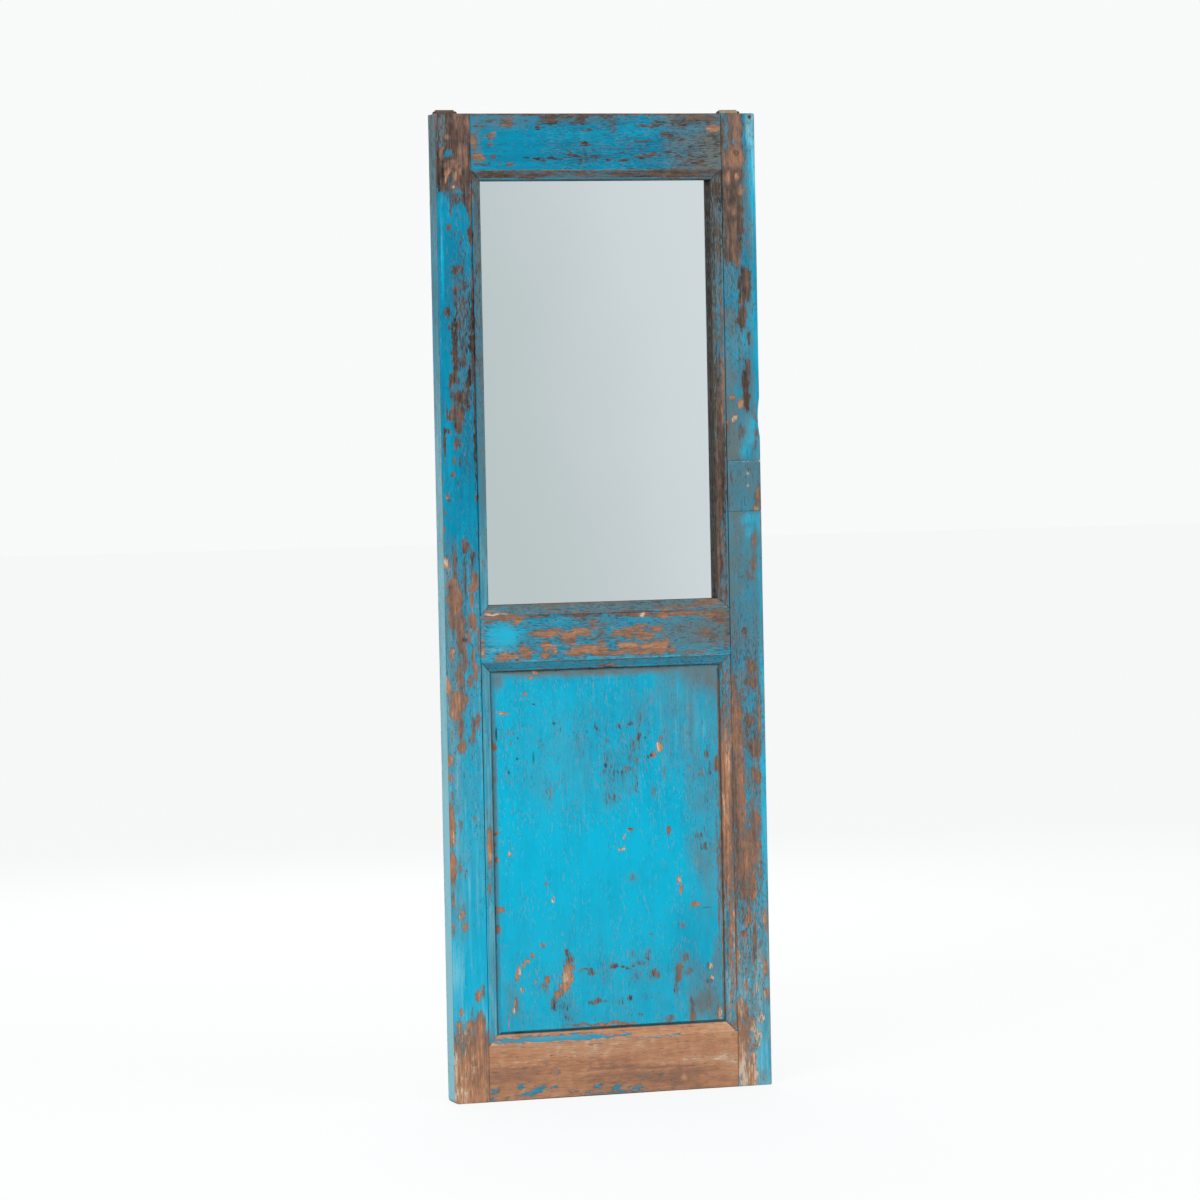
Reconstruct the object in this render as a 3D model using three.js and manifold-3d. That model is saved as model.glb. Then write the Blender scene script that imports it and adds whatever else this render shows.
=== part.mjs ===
// Shutter mirror: one leaf of an old painted window shutter. Its upper panel is gone and a
// mirror sits there in a pocket cut from behind; the lower panel is the old one.
// Millimetres, +Z up, the front faces -Y, the foot stands on Z = 0.
// Depth is measured from the front of the timber towards the wall.

import * as THREE from 'three';
import { mergeVertices } from 'three/addons/utils/BufferGeometryUtils.js';
import Module from 'manifold-3d';

const wasm = await Module();
wasm.setup();

// Frame: two full-height stiles and three rails between them
const frameHeight = 1500;
const frameWidth = 510;
const frameThickness = 40;
const stileWidth = 71;
const topRailHeight = 101;
const middleRailHeight = 101;
const bottomRailHeight = 101;
const middleRailCentre = 705;
const fitGap = 0.3;
const arrisRound = 2.5;
const backArris = 1;

// Worn corners and the hollow rubbed into the right-hand edge
const footCornerRound = { left: 6, right: 3 };
const topCornerRound = { left: 1.5, right: 4 };
const wornHollowHeight = 1033;
const wornHollowLength = 64;
const wornHollowDepth = 3.5;

// Moulding worked on every inner edge: a chamfer that ends in a round nose
const mouldingWidth = 14.5;
const mouldingDepth = 8.6;
const chamferWidth = 10;
const chamferDepth = 5;
const noseStep = 0.8;
const fillet = 2;
const quirkWidth = 1;
const quirkDepth = 1.2;
const mitreGrip = 0.9;

// Stub tenons, one peg through each
const tenonThickness = 12;
const tenonDepth = 14;
const tenonLength = 42;
const tenonInnerMargin = 12;
const haunchHeight = 33;
const middleTenonMargin = 17;
const pegRadius = 4.5;
const pegTaper = 0.3;
const pegSetback = 23.5;

// Raised lower panel, loose in its groove and settled on the bottom rail
const grooveDepth = 10.5;
const grooveWidth = 9.3;
const grooveReach = 9;
const panelPlay = 1.5;
const fieldDepth = 4.5;
const fieldMargin = 6;
const bevelWidth = 4.6;

// Mirror pocket, cut from the back of the upper opening
const pocketDepth = 24;
const pocketReach = 11;
const glassThickness = 4;
const glassPlay = 1.5;
const backingThickness = 4;
const beadThickness = 6.4;
const beadWidth = 10;
const beadRound = 3;
const beadNailRadius = 0.8;
const beadNailHeadRadius = 1.5;
const beadNailHeadThickness = 0.8;
const beadNailGrip = 12;
const longBeadNails = 3;
const shortBeadNails = 2;
const beadNailMargin = 60;

// Repair let into the right stile where a lock was
const patchHeight = 78;
const patchCentre = 928;
const patchThickness = 12;
const patchNailInset = 21.5;
const patchNailRises = { lower: 0, upper: 18.5 };
const patchNailGrip = 14;

// Loose nails in the timber
const nailRadius = 1.3;
const nailHeadRadius = 2.6;
const nailHeadThickness = 1.2;
const edgeNailDrop = 25;
const edgeNailDepth = 18;
const edgeNailLength = 30;
const cornerNailInset = 8;
const cornerNailDrop = 6;
const cornerNailLength = 25;

// Strap hangers on the backs of the stiles, each rolled round the bar of a ring
const hangerInset = 28;
const strapWidth = 29;
const strapSheet = 1.6;
const strapDrop = 51;
const strapCornerRound = 6;
const eyeRise = 4.6;
const eyeOpening = 65;
const wireRadius = 1.8;
const ringRunningGap = 0.3;
const ringSideGap = 0.5;
const ringBendRadius = 3;
const ringDrop = 26;
const ringBow = 15;
const screwHeadRadius = 3.6;
const screwHeadHeight = 1.5;
const screwRadius = 1.8;
const screwGrip = 12;
const screwDrops = { upper: 15, lower: 38 };

// Facets
const roundFacets = 4;
const pegSides = 12;
const nailSides = 8;
const screwSides = 12;
const eyeFacets = 14;
const bendFacets = 3;
const bowFacets = 12;
const wireSides = 8;

// Sizes that follow
const past = 1;
const weld = 0.01;
const lipWidth = fillet + mouldingWidth;
const shoulderInset = stileWidth - lipWidth;
const pegInset = shoulderInset - pegSetback;
const noseStart = fillet + chamferWidth;
const mitreDepth = mouldingDepth + mitreGrip;
const middleRailLow = middleRailCentre - middleRailHeight / 2;
const middleRailHigh = middleRailCentre + middleRailHeight / 2;
const topRailLow = frameHeight - topRailHeight;
const openingHalf = frameWidth / 2 - stileWidth;
const pocketHalf = openingHalf + pocketReach;
const grooveBack = grooveDepth + grooveWidth;
const edgeNailHeight = frameHeight - edgeNailDrop;
const patchNailHeights = {
  lower: patchCentre + patchNailRises.lower,
  upper: patchCentre + patchNailRises.upper,
};
const eyeOuter = wireRadius + ringRunningGap + strapSheet;
const eyeInner = wireRadius + ringRunningGap;
const strapFront = frameThickness + fitGap;
const strapBack = strapFront + strapSheet;
const eyeDepth = strapFront + eyeOuter;
const eyeHeight = frameHeight + eyeRise;
const overallDepth = eyeDepth + eyeOuter;
const sides = { left: -1, right: 1 };

const rails = {
  top: { low: topRailLow, high: frameHeight, mouldedLow: true, mouldedHigh: false },
  middle: { low: middleRailLow, high: middleRailHigh, mouldedLow: true, mouldedHigh: true },
  bottom: { low: 0, high: bottomRailHeight, mouldedLow: false, mouldedHigh: true },
};

const paintedTimber = { color: 0x1a8fb4, roughness: 0.62, metalness: 0 };
const wornTimber = { color: 0x8a6450, roughness: 0.78, metalness: 0 };
const palePine = { color: 0xb58f63, roughness: 0.75, metalness: 0 };
const hardboard = { color: 0x7a5638, roughness: 0.85, metalness: 0 };
const silveredGlass = { color: 0xc8d2d6, roughness: 0.04, metalness: 1 };
const rustyIron = { color: 0x5a4436, roughness: 0.7, metalness: 0.7 };
const tarnishedSteel = { color: 0x8b7f70, roughness: 0.5, metalness: 0.85 };

// X of a place that lies inset from the outer edge of one side
const across = (side, inset) => side * (frameWidth / 2 - inset);

// A closed three.js geometry as a solid that can be cut and joined
function solidFrom(geometry) {
  geometry.deleteAttribute('normal');
  geometry.deleteAttribute('uv');
  const merged = mergeVertices(geometry, 1e-4);
  const corners = merged.index.array;
  const triVerts = [];
  for (let at = 0; at < corners.length; at += 3) {
    const [a, b, c] = corners.slice(at, at + 3);
    if (a !== b && b !== c && c !== a) triVerts.push(a, b, c);
  }
  const vertProperties = new Float32Array(merged.attributes.position.array);
  return new wasm.Manifold(new wasm.Mesh({
    numProp: 3,
    vertProperties,
    triVerts: new Uint32Array(triVerts),
  }));
}

function geometryFrom(solid) {
  const mesh = solid.getMesh();
  const geometry = new THREE.BufferGeometry();
  geometry.setAttribute('position', new THREE.BufferAttribute(mesh.vertProperties, 3));
  geometry.setIndex(new THREE.BufferAttribute(mesh.triVerts, 1));
  geometry.computeVertexNormals();
  return geometry;
}

function block([xA, xB], [depthA, depthB], [zA, zB]) {
  const geometry = new THREE.BoxGeometry(Math.abs(xB - xA), depthB - depthA, zB - zA);
  geometry.translate((xA + xB) / 2, (depthA + depthB) / 2, (zA + zB) / 2);
  return solidFrom(geometry);
}

const shapeOf = (points) => new THREE.Shape(points.map(([a, b]) => new THREE.Vector2(a, b)));

// Section drawn as (x, depth), run upwards
function runUp(section, zA, zB) {
  const geometry = new THREE.ExtrudeGeometry(shapeOf(section), { depth: zB - zA, bevelEnabled: false });
  geometry.translate(0, 0, zA);
  return solidFrom(geometry);
}

// Section drawn as (depth, z), run from left to right
function runAcross(section, xA, xB) {
  const geometry = new THREE.ExtrudeGeometry(shapeOf(section), { depth: xB - xA, bevelEnabled: false });
  const turn = new THREE.Matrix4().makeBasis(
    new THREE.Vector3(0, 1, 0),
    new THREE.Vector3(0, 0, 1),
    new THREE.Vector3(1, 0, 0),
  );
  geometry.applyMatrix4(turn);
  geometry.translate(xA, 0, 0);
  return solidFrom(geometry);
}

// Outline drawn as (x, z), seen from the front, run from one depth to another
function runBack(outline, depthA, depthB) {
  const run = { depth: depthB - depthA, bevelEnabled: false };
  const geometry = new THREE.ExtrudeGeometry(shapeOf(outline), run);
  geometry.rotateX(Math.PI / 2);
  geometry.translate(0, depthB, 0);
  return solidFrom(geometry);
}

// Profile drawn as (radius, distance along the axis), turned and laid along a direction
function turned(profile, facets, from, direction) {
  const points = profile.map(([radius, along]) => new THREE.Vector2(radius, along));
  const geometry = new THREE.LatheGeometry(points, facets);
  const axis = new THREE.Vector3(...direction);
  geometry.applyQuaternion(new THREE.Quaternion().setFromUnitVectors(new THREE.Vector3(0, 1, 0), axis));
  geometry.translate(...from);
  return solidFrom(geometry);
}

const rod = (radius, facets, from, direction, length) => turned(
  [[0, 0], [radius, 0], [radius, length], [0, length]],
  facets,
  from,
  direction,
);

// Points of a quarter round between two directions, centred on a point
function arc([centreA, centreB], [radiusA, radiusB], startDegrees, endDegrees, facets) {
  const points = [];
  for (let step = 0; step <= facets; step += 1) {
    const angle = THREE.MathUtils.degToRad(startDegrees + ((endDegrees - startDegrees) * step) / facets);
    points.push([centreA + radiusA * Math.cos(angle), centreB + radiusB * Math.sin(angle)]);
  }
  return points;
}

// Moulding as (distance from the shoulder line, depth), from the flat down to the reveal
function mouldingProfile() {
  const noseRadii = [mouldingWidth - chamferWidth, mouldingDepth - chamferDepth - noseStep];
  return [
    [fillet, 0],
    [noseStart, chamferDepth],
    ...arc([noseStart, mouldingDepth], noseRadii, -90, 0, roundFacets),
  ];
}

function stileSection(side) {
  const points = [
    ...arc([arrisRound, arrisRound], [arrisRound, arrisRound], 180, 270, roundFacets),
    [shoulderInset, 0],
    [shoulderInset + quirkWidth / 2, quirkDepth],
    [shoulderInset + quirkWidth, 0],
    ...mouldingProfile().map(([inset, depth]) => [shoulderInset + inset, depth]),
    [stileWidth, frameThickness],
    [backArris, frameThickness],
    [0, frameThickness - backArris],
  ];
  return points.map(([inset, depth]) => [across(side, inset), depth]);
}

function railSection(rail) {
  const lowEdge = rail.mouldedLow
    ? mouldingProfile().reverse().map(([inset, depth]) => [depth, rail.low + lipWidth - inset])
    : [[arrisRound / 2, rail.low], [0, rail.low + arrisRound / 2]];
  const highEdge = rail.mouldedHigh
    ? mouldingProfile().map(([inset, depth]) => [depth, rail.high - lipWidth + inset])
    : [[0, rail.high - arrisRound / 2], [arrisRound / 2, rail.high]];
  return [...lowEdge, ...highEdge, [frameThickness, rail.high], [frameThickness, rail.low]];
}

// Where a rail's face meets one stile, as (inset, z): mitred moulding, square shoulder.
// grow widens it, reach carries the mitre past the sight line.
function railEnd(rail, grow, reach) {
  const overMitre = grow * Math.SQRT2;
  const low = rail.mouldedLow
    ? [
      [stileWidth + reach, rail.low - reach - overMitre],
      [shoulderInset + fillet, rail.low + mouldingWidth - overMitre],
      [shoulderInset, rail.low + mouldingWidth - overMitre],
    ]
    : [[stileWidth + reach, rail.low - past], [shoulderInset, rail.low - past]];
  const high = rail.mouldedHigh
    ? [
      [shoulderInset, rail.high - mouldingWidth + overMitre],
      [shoulderInset + fillet, rail.high - mouldingWidth + overMitre],
      [stileWidth + reach, rail.high + reach + overMitre],
    ]
    : [[shoulderInset, rail.high + past], [stileWidth + reach, rail.high + past]];
  return [...low, ...high];
}

// Room in a stile for the end of a rail
function railSeat(rail, side) {
  const outline = railEnd(rail, fitGap, past).map(([inset, z]) => [across(side, inset), z]);
  const face = runBack(outline, -past, mitreDepth - fitGap + weld);
  const behind = block(
    [across(side, shoulderInset), across(side, stileWidth + past)],
    [mitreDepth - fitGap, frameThickness + past],
    [rail.low - (rail.mouldedLow ? fitGap : past), rail.high + (rail.mouldedHigh ? fitGap : past)],
  );
  return face.add(behind);
}

function tenonSpan(rail) {
  const margin = rail.mouldedLow && rail.mouldedHigh ? middleTenonMargin : tenonInnerMargin;
  return [
    rail.low + (rail.mouldedLow ? margin : haunchHeight),
    rail.high - (rail.mouldedHigh ? margin : haunchHeight),
  ];
}

function tenon(rail, side, gap) {
  const [low, high] = tenonSpan(rail);
  return block(
    [across(side, shoulderInset - tenonLength - gap), across(side, shoulderInset + past + gap)],
    [tenonDepth - gap, tenonDepth + tenonThickness + gap],
    [low - gap, high + gap],
  );
}

// Peg driven from the front, a little thinner at the back
function peg(rail, side, gap, over) {
  const [low, high] = tenonSpan(rail);
  const profile = [
    [0, 0],
    [pegRadius + gap, 0],
    [pegRadius - pegTaper + gap, frameThickness + 2 * over],
    [0, frameThickness + 2 * over],
  ];
  return turned(profile, pegSides, [across(side, pegInset), -over, (low + high) / 2], [0, 1, 0]);
}

const mirrorPocket = () => block(
  [-pocketHalf, pocketHalf],
  [pocketDepth, frameThickness + past],
  [middleRailHigh - pocketReach, topRailLow + pocketReach],
);

const panelGroove = () => block(
  [-openingHalf - grooveReach, openingHalf + grooveReach],
  [grooveDepth, grooveBack],
  [bottomRailHeight - grooveReach, middleRailLow + grooveReach],
);

// Nail with a flat head; from is the top of the head
function nail(headRadius, headThickness, radius, length, from, direction, gap) {
  const profile = [
    [0, gap ? -past : 0],
    [headRadius + gap, gap ? -past : 0],
    [headRadius + gap, headThickness + gap],
    [radius + gap, headThickness + gap],
    [radius + gap, length - 2 * radius],
    [0, length + gap],
  ];
  return turned(profile, nailSides, from, direction);
}

const timberNail = (length, from, direction, gap) => nail(
  nailHeadRadius,
  nailHeadThickness,
  nailRadius,
  length,
  from,
  direction,
  gap,
);

const edgeNail = (gap) => timberNail(
  edgeNailLength,
  [across(sides.left, 0), edgeNailDepth, edgeNailHeight],
  [1, 0, 0],
  gap,
);

const cornerNail = (gap) => timberNail(
  cornerNailLength,
  [across(sides.right, cornerNailInset), 0, frameHeight - cornerNailDrop],
  [0, 1, 0],
  gap,
);

const patchNail = (height, gap) => timberNail(
  patchThickness + patchNailGrip,
  [across(sides.right, patchNailInset), 0, height],
  [0, 1, 0],
  gap,
);

// Countersunk screw, driven forwards from the back of a strap
function hangerScrew(side, drop, gap) {
  const length = screwHeadHeight + screwGrip;
  const profile = [
    [0, gap ? -past : 0],
    [screwHeadRadius + gap, gap ? -past : 0],
    [screwHeadRadius + gap, 0],
    [screwRadius + gap, screwHeadHeight + gap],
    [screwRadius + gap, length - screwRadius],
    [0, length + gap],
  ];
  const from = [across(side, hangerInset), strapBack, frameHeight - drop];
  return turned(profile, screwSides, from, [0, -1, 0]);
}

// Outer corners of a stile, rounded by wear, as seen from the front
function stileOutline(side, name) {
  const foot = footCornerRound[name];
  const top = topCornerRound[name];
  const points = [
    [stileWidth + past, -past],
    [foot, -past],
    ...arc([foot, foot], [foot, foot], 270, 180, roundFacets),
    ...arc([top, frameHeight - top], [top, top], 180, 90, roundFacets),
    [top, frameHeight + past],
    [stileWidth + past, frameHeight + past],
  ];
  return points.map(([inset, z]) => [across(side, inset), z]);
}

function stileBody(name) {
  const side = sides[name];
  return runUp(stileSection(side), 0, frameHeight)
    .intersect(runBack(stileOutline(side, name), -past, frameThickness + past));
}

// Hollow rubbed into the right-hand edge: a shallow arc of its own length and depth
function wornHollow() {
  const radius = ((wornHollowLength / 2) ** 2 + wornHollowDepth ** 2) / (2 * wornHollowDepth);
  const facets = Math.round((2 * Math.PI * radius) / (wornHollowLength / 8));
  const centre = [across(sides.right, wornHollowDepth - radius), -past, wornHollowHeight];
  return rod(radius, facets, centre, [0, 1, 0], frameThickness + 2 * past);
}

const patchRoom = (gap) => block(
  [across(sides.right, -past), across(sides.right, shoulderInset - fitGap + gap)],
  [-past, patchThickness + gap],
  [patchCentre - patchHeight / 2 - gap, patchCentre + patchHeight / 2 + gap],
);

function stile(name) {
  const side = sides[name];
  let solid = stileBody(name).subtract(mirrorPocket()).subtract(panelGroove());
  for (const rail of Object.values(rails)) {
    solid = solid
      .subtract(railSeat(rail, side))
      .subtract(tenon(rail, side, fitGap))
      .subtract(peg(rail, side, fitGap, past));
  }
  for (const drop of Object.values(screwDrops)) {
    solid = solid.subtract(hangerScrew(side, drop, fitGap));
  }
  for (const one of beadNails(name)) {
    solid = solid.subtract(one(fitGap));
  }
  return solid;
}

function leftStile() {
  return stile('left').subtract(edgeNail(fitGap));
}

function rightStile() {
  let solid = stile('right')
    .subtract(wornHollow())
    .subtract(patchRoom(fitGap))
    .subtract(cornerNail(fitGap));
  for (const height of Object.values(patchNailHeights)) {
    solid = solid.subtract(patchNail(height, fitGap));
  }
  return solid;
}

function lockPatch() {
  let solid = stileBody('right').intersect(patchRoom(0));
  for (const height of Object.values(patchNailHeights)) {
    solid = solid.subtract(patchNail(height, fitGap));
  }
  return solid;
}

function rail(name) {
  const one = rails[name];
  const endInset = shoulderInset + fitGap;
  const half = frameWidth / 2 - endInset;
  const right = railEnd(one, 0, 0).map(([inset, z]) => [across(sides.right, Math.max(inset, endInset)), z]);
  const left = [...right].reverse().map(([x, z]) => [-x, z]);
  const face = runBack([...right, ...left], -past, mitreDepth + weld);
  const behind = block([-half, half], [mitreDepth, frameThickness], [one.low, one.high]);
  let solid = runAcross(railSection(one), -half, half)
    .intersect(face.add(behind))
    .subtract(mirrorPocket())
    .subtract(panelGroove());
  for (const side of Object.values(sides)) {
    solid = solid.add(tenon(one, side, 0)).subtract(peg(one, side, fitGap, past));
  }
  return solid;
}

// A rail with the holes for the nails of one bead
const nailedRail = (name, beadName) => beadNails(beadName)
  .reduce((solid, one) => solid.subtract(one(fitGap)), rail(name));

const topRail = () => nailedRail('top', 'top');

const middleRail = () => nailedRail('middle', 'bottom');

// Board with a raised field: rectangles at four depths, joined by flat faces
function lowerPanel() {
  const half = openingHalf + grooveReach - panelPlay;
  const low = bottomRailHeight - grooveReach + fitGap;
  const high = middleRailLow + grooveReach - 2 * panelPlay + fitGap;
  const fieldInset = grooveReach - panelPlay + fieldMargin;
  const front = grooveDepth + fitGap;
  const back = grooveBack - fitGap;
  const levels = [[back, 0], [front, 0], [front, fieldInset - bevelWidth], [fieldDepth, fieldInset]];
  const positions = levels.flatMap(([depth, inset]) => [
    [-half + inset, depth, low + inset],
    [half - inset, depth, low + inset],
    [half - inset, depth, high - inset],
    [-half + inset, depth, high - inset],
  ]);
  const faces = [[0, 2, 1], [0, 3, 2]];
  for (let level = 0; level < levels.length - 1; level += 1) {
    for (let corner = 0; corner < 4; corner += 1) {
      const a = level * 4 + corner;
      const b = level * 4 + ((corner + 1) % 4);
      faces.push([a, b, b + 4], [a, b + 4, a + 4]);
    }
  }
  const last = (levels.length - 1) * 4;
  faces.push([last, last + 1, last + 2], [last, last + 2, last + 3]);
  const geometry = new THREE.BufferGeometry();
  geometry.setAttribute('position', new THREE.Float32BufferAttribute(positions.flat(), 3));
  geometry.setIndex(faces.flat());
  return solidFrom(geometry);
}

// Sheet in the mirror pocket, standing on the pocket's lower edge
const pocketSheet = (front, thickness) => block(
  [-pocketHalf + glassPlay, pocketHalf - glassPlay],
  [front, front + thickness],
  [middleRailHigh - pocketReach + fitGap, topRailLow + pocketReach - 2 * glassPlay + fitGap],
);

const glassFront = pocketDepth + fitGap;
const backingFront = glassFront + glassThickness + fitGap;
const beadFront = backingFront + backingThickness + fitGap;
const beadBack = beadFront + beadThickness;
const pocketLow = middleRailHigh - pocketReach + fitGap;
const pocketHigh = topRailLow + pocketReach - fitGap;
const pocketEdge = pocketHalf - fitGap;

// Bead section as (distance from the pocket's wall, depth), its inner back edge rounded
const beadSection = [
  [0, beadFront],
  [beadWidth, beadFront],
  ...arc([beadWidth - beadRound, beadBack - beadRound], [beadRound, beadRound], 0, 90, roundFacets),
  [0, beadBack],
];

const sideBeadSpan = [pocketLow + beadWidth + fitGap, pocketHigh - beadWidth - fitGap];

function bead(name) {
  const nails = beadNails(name);
  let solid;
  if (name === 'left' || name === 'right') {
    const section = beadSection.map(([off, depth]) => [sides[name] * (pocketEdge - off), depth]);
    solid = runUp(section, ...sideBeadSpan);
  } else {
    const wall = name === 'top' ? pocketHigh : pocketLow;
    const inwards = name === 'top' ? -1 : 1;
    const section = beadSection.map(([off, depth]) => [depth, wall + inwards * off]);
    solid = runAcross(section, -pocketEdge, pocketEdge);
  }
  return nails.reduce((cut, one) => cut.subtract(one(fitGap)), solid);
}

// The nails of one bead, driven outwards through it into the frame
function beadNails(name) {
  const depth = (beadFront + beadBack) / 2;
  const length = beadWidth + beadNailGrip;
  const upright = name === 'left' || name === 'right';
  const count = upright ? longBeadNails : shortBeadNails;
  const [from, to] = upright ? sideBeadSpan : [-pocketEdge, pocketEdge];
  return Array.from({ length: count }, (_, at) => {
    const along = from + beadNailMargin + ((to - from - 2 * beadNailMargin) * at) / (count - 1);
    const outwards = upright ? [sides[name], 0, 0] : [0, 0, name === 'top' ? 1 : -1];
    const wall = name === 'top' ? pocketHigh : pocketLow;
    const head = upright
      ? [sides[name] * (pocketEdge - beadWidth), depth, along]
      : [along, depth, wall - outwards[2] * beadWidth];
    return (gap) => nail(
      beadNailHeadRadius,
      beadNailHeadThickness,
      beadNailRadius,
      length,
      head,
      outwards,
      gap,
    );
  });
}

// Strap: a plate whose top is rolled back into an eye
function hangerStrap(side) {
  const section = [
    [strapFront, frameHeight - strapDrop],
    ...arc([eyeDepth, eyeHeight], [eyeOuter, eyeOuter], 180, eyeOpening - 180, eyeFacets),
    ...arc([eyeDepth, eyeHeight], [eyeInner, eyeInner], eyeOpening - 180, 180, eyeFacets),
    [strapBack, frameHeight - strapDrop],
  ];
  const middle = across(side, hangerInset);
  const half = strapWidth / 2;
  const low = frameHeight - strapDrop;
  const round = strapCornerRound;
  const outline = [
    ...arc([half - round, low + round], [round, round], -90, 0, roundFacets),
    [half, frameHeight + 3 * eyeOuter],
    [-half, frameHeight + 3 * eyeOuter],
    ...arc([round - half, low + round], [round, round], 180, 270, roundFacets),
  ].map(([x, z]) => [middle + x, z]);
  let solid = runAcross(section, middle - half, middle + half)
    .intersect(runBack(outline, 0, overallDepth + past));
  for (const drop of Object.values(screwDrops)) {
    solid = solid.subtract(hangerScrew(side, drop, fitGap));
  }
  return solid;
}

// Middle line of a ring as (x, z) about the bar: bar, two bends, two arms and the bow
function ringLine() {
  const half = strapWidth / 2 + ringSideGap + ringBendRadius;
  const bend = [ringBendRadius, ringBendRadius];
  const inner = half - ringBendRadius;
  return [
    ...arc([inner, -ringBendRadius], bend, 90, 0, bendFacets),
    ...arc([0, ringBow - ringDrop], [half, ringBow], 0, -180, bowFacets),
    ...arc([-inner, -ringBendRadius], bend, 180, 90, bendFacets),
  ];
}

// Round wire that closes on itself along a flat line of (x, z) points
function wireLoop(line, centre) {
  const positions = [];
  line.forEach((point, at) => {
    const before = line[(at + line.length - 1) % line.length];
    const after = line[(at + 1) % line.length];
    const arriving = new THREE.Vector2(point[0] - before[0], point[1] - before[1]).normalize();
    const leaving = new THREE.Vector2(after[0] - point[0], after[1] - point[1]).normalize();
    const along = arriving.clone().add(leaving).normalize();
    const stretch = 1 / arriving.dot(along);
    for (let step = 0; step < wireSides; step += 1) {
      const angle = (2 * Math.PI * step) / wireSides;
      const sideways = wireRadius * Math.cos(angle) * stretch;
      positions.push(
        centre[0] + point[0] - along.y * sideways,
        centre[1] + wireRadius * Math.sin(angle),
        centre[2] + point[1] + along.x * sideways,
      );
    }
  });
  const faces = [];
  line.forEach((_, at) => {
    const here = at * wireSides;
    const there = ((at + 1) % line.length) * wireSides;
    for (let step = 0; step < wireSides; step += 1) {
      const next = (step + 1) % wireSides;
      faces.push(here + step, there + step, there + next, here + step, there + next, here + next);
    }
  });
  const geometry = new THREE.BufferGeometry();
  geometry.setAttribute('position', new THREE.Float32BufferAttribute(positions, 3));
  geometry.setIndex(faces);
  return solidFrom(geometry);
}

const hangerRing = (side) => wireLoop(ringLine(), [across(side, hangerInset), eyeDepth, eyeHeight]);

// Assembly, the overall depth centred on Y = 0
const shutterMirror = new THREE.Group();
shutterMirror.position.y = -overallDepth / 2;

function place(name, solid, look) {
  const material = new THREE.MeshStandardMaterial({ ...look, flatShading: true });
  const mesh = new THREE.Mesh(geometryFrom(solid), material);
  mesh.name = name;
  shutterMirror.add(mesh);
}

place('left_stile', leftStile(), paintedTimber);
place('right_stile', rightStile(), paintedTimber);
place('top_rail', topRail(), paintedTimber);
place('middle_rail', middleRail(), paintedTimber);
place('bottom_rail', rail('bottom'), wornTimber);
place('lower_panel', lowerPanel(), paintedTimber);
place('lock_patch', lockPatch(), paintedTimber);

for (const [railName, one] of Object.entries(rails)) {
  for (const [sideName, side] of Object.entries(sides)) {
    place(`peg_${railName}_${sideName}`, peg(one, side, 0, 0), wornTimber);
  }
}

place('mirror_glass', pocketSheet(glassFront, glassThickness), silveredGlass);
place('backing_board', pocketSheet(backingFront, backingThickness), hardboard);

for (const name of ['top', 'bottom', 'left', 'right']) {
  place(`bead_${name}`, bead(name), palePine);
  beadNails(name).forEach((one, at) => place(`bead_nail_${name}_${at + 1}`, one(0), rustyIron));
}

place('edge_nail', edgeNail(0), rustyIron);
place('corner_nail', cornerNail(0), rustyIron);
for (const [name, height] of Object.entries(patchNailHeights)) {
  place(`patch_nail_${name}`, patchNail(height, 0), rustyIron);
}

for (const [sideName, side] of Object.entries(sides)) {
  place(`hanger_strap_${sideName}`, hangerStrap(side), tarnishedSteel);
  place(`hanger_ring_${sideName}`, hangerRing(side), rustyIron);
  for (const [name, drop] of Object.entries(screwDrops)) {
    place(`hanger_screw_${sideName}_${name}`, hangerScrew(side, drop, 0), rustyIron);
  }
}

export default shutterMirror;
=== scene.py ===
# One leaf of an old painted window shutter, with a mirror in its upper opening.
# The scene is in metres, Z up, the front faces -Y. Wear is placed in millimetres on the leaf:
# across from its left edge, drop from its top, depth from its front face.

from math import radians

import bpy
import numpy as np
from mathutils import Matrix, Vector, noise


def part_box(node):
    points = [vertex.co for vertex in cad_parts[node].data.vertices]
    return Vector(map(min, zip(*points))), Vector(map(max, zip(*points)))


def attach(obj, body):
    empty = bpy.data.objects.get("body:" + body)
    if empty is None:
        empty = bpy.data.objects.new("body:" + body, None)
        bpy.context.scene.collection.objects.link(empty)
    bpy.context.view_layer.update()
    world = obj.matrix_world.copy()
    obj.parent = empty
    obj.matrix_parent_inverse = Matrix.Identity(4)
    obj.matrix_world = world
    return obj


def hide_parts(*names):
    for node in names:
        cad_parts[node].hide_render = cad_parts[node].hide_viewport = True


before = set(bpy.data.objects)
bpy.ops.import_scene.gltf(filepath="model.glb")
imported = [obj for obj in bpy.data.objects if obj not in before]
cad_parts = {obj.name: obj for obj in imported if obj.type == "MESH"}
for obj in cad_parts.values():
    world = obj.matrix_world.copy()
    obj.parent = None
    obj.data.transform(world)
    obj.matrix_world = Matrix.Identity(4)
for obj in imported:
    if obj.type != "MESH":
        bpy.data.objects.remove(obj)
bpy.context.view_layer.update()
print("frame loaded:", len(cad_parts), "nodes")

leaf = {"width": 510, "height": 1500, "front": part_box("left_stile")[0].y * 1000}

# the seed fixes where noise_vector draws from, so that every run wears the same places
noise.seed_set(5)


# Nodes: a socket given as a value is linked, anything else is set

def fillSockets(tree, made, inputs):
    for socket, value in inputs.items():
        if isinstance(value, bpy.types.NodeSocket):
            tree.links.new(value, made.inputs[socket])
        else:
            made.inputs[socket].default_value = value


def addNode(tree, kind, inputs=None, **settings):
    made = tree.nodes.new(kind)
    for name, value in settings.items():
        setattr(made, name, value)
    fillSockets(tree, made, inputs or {})
    return made


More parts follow.
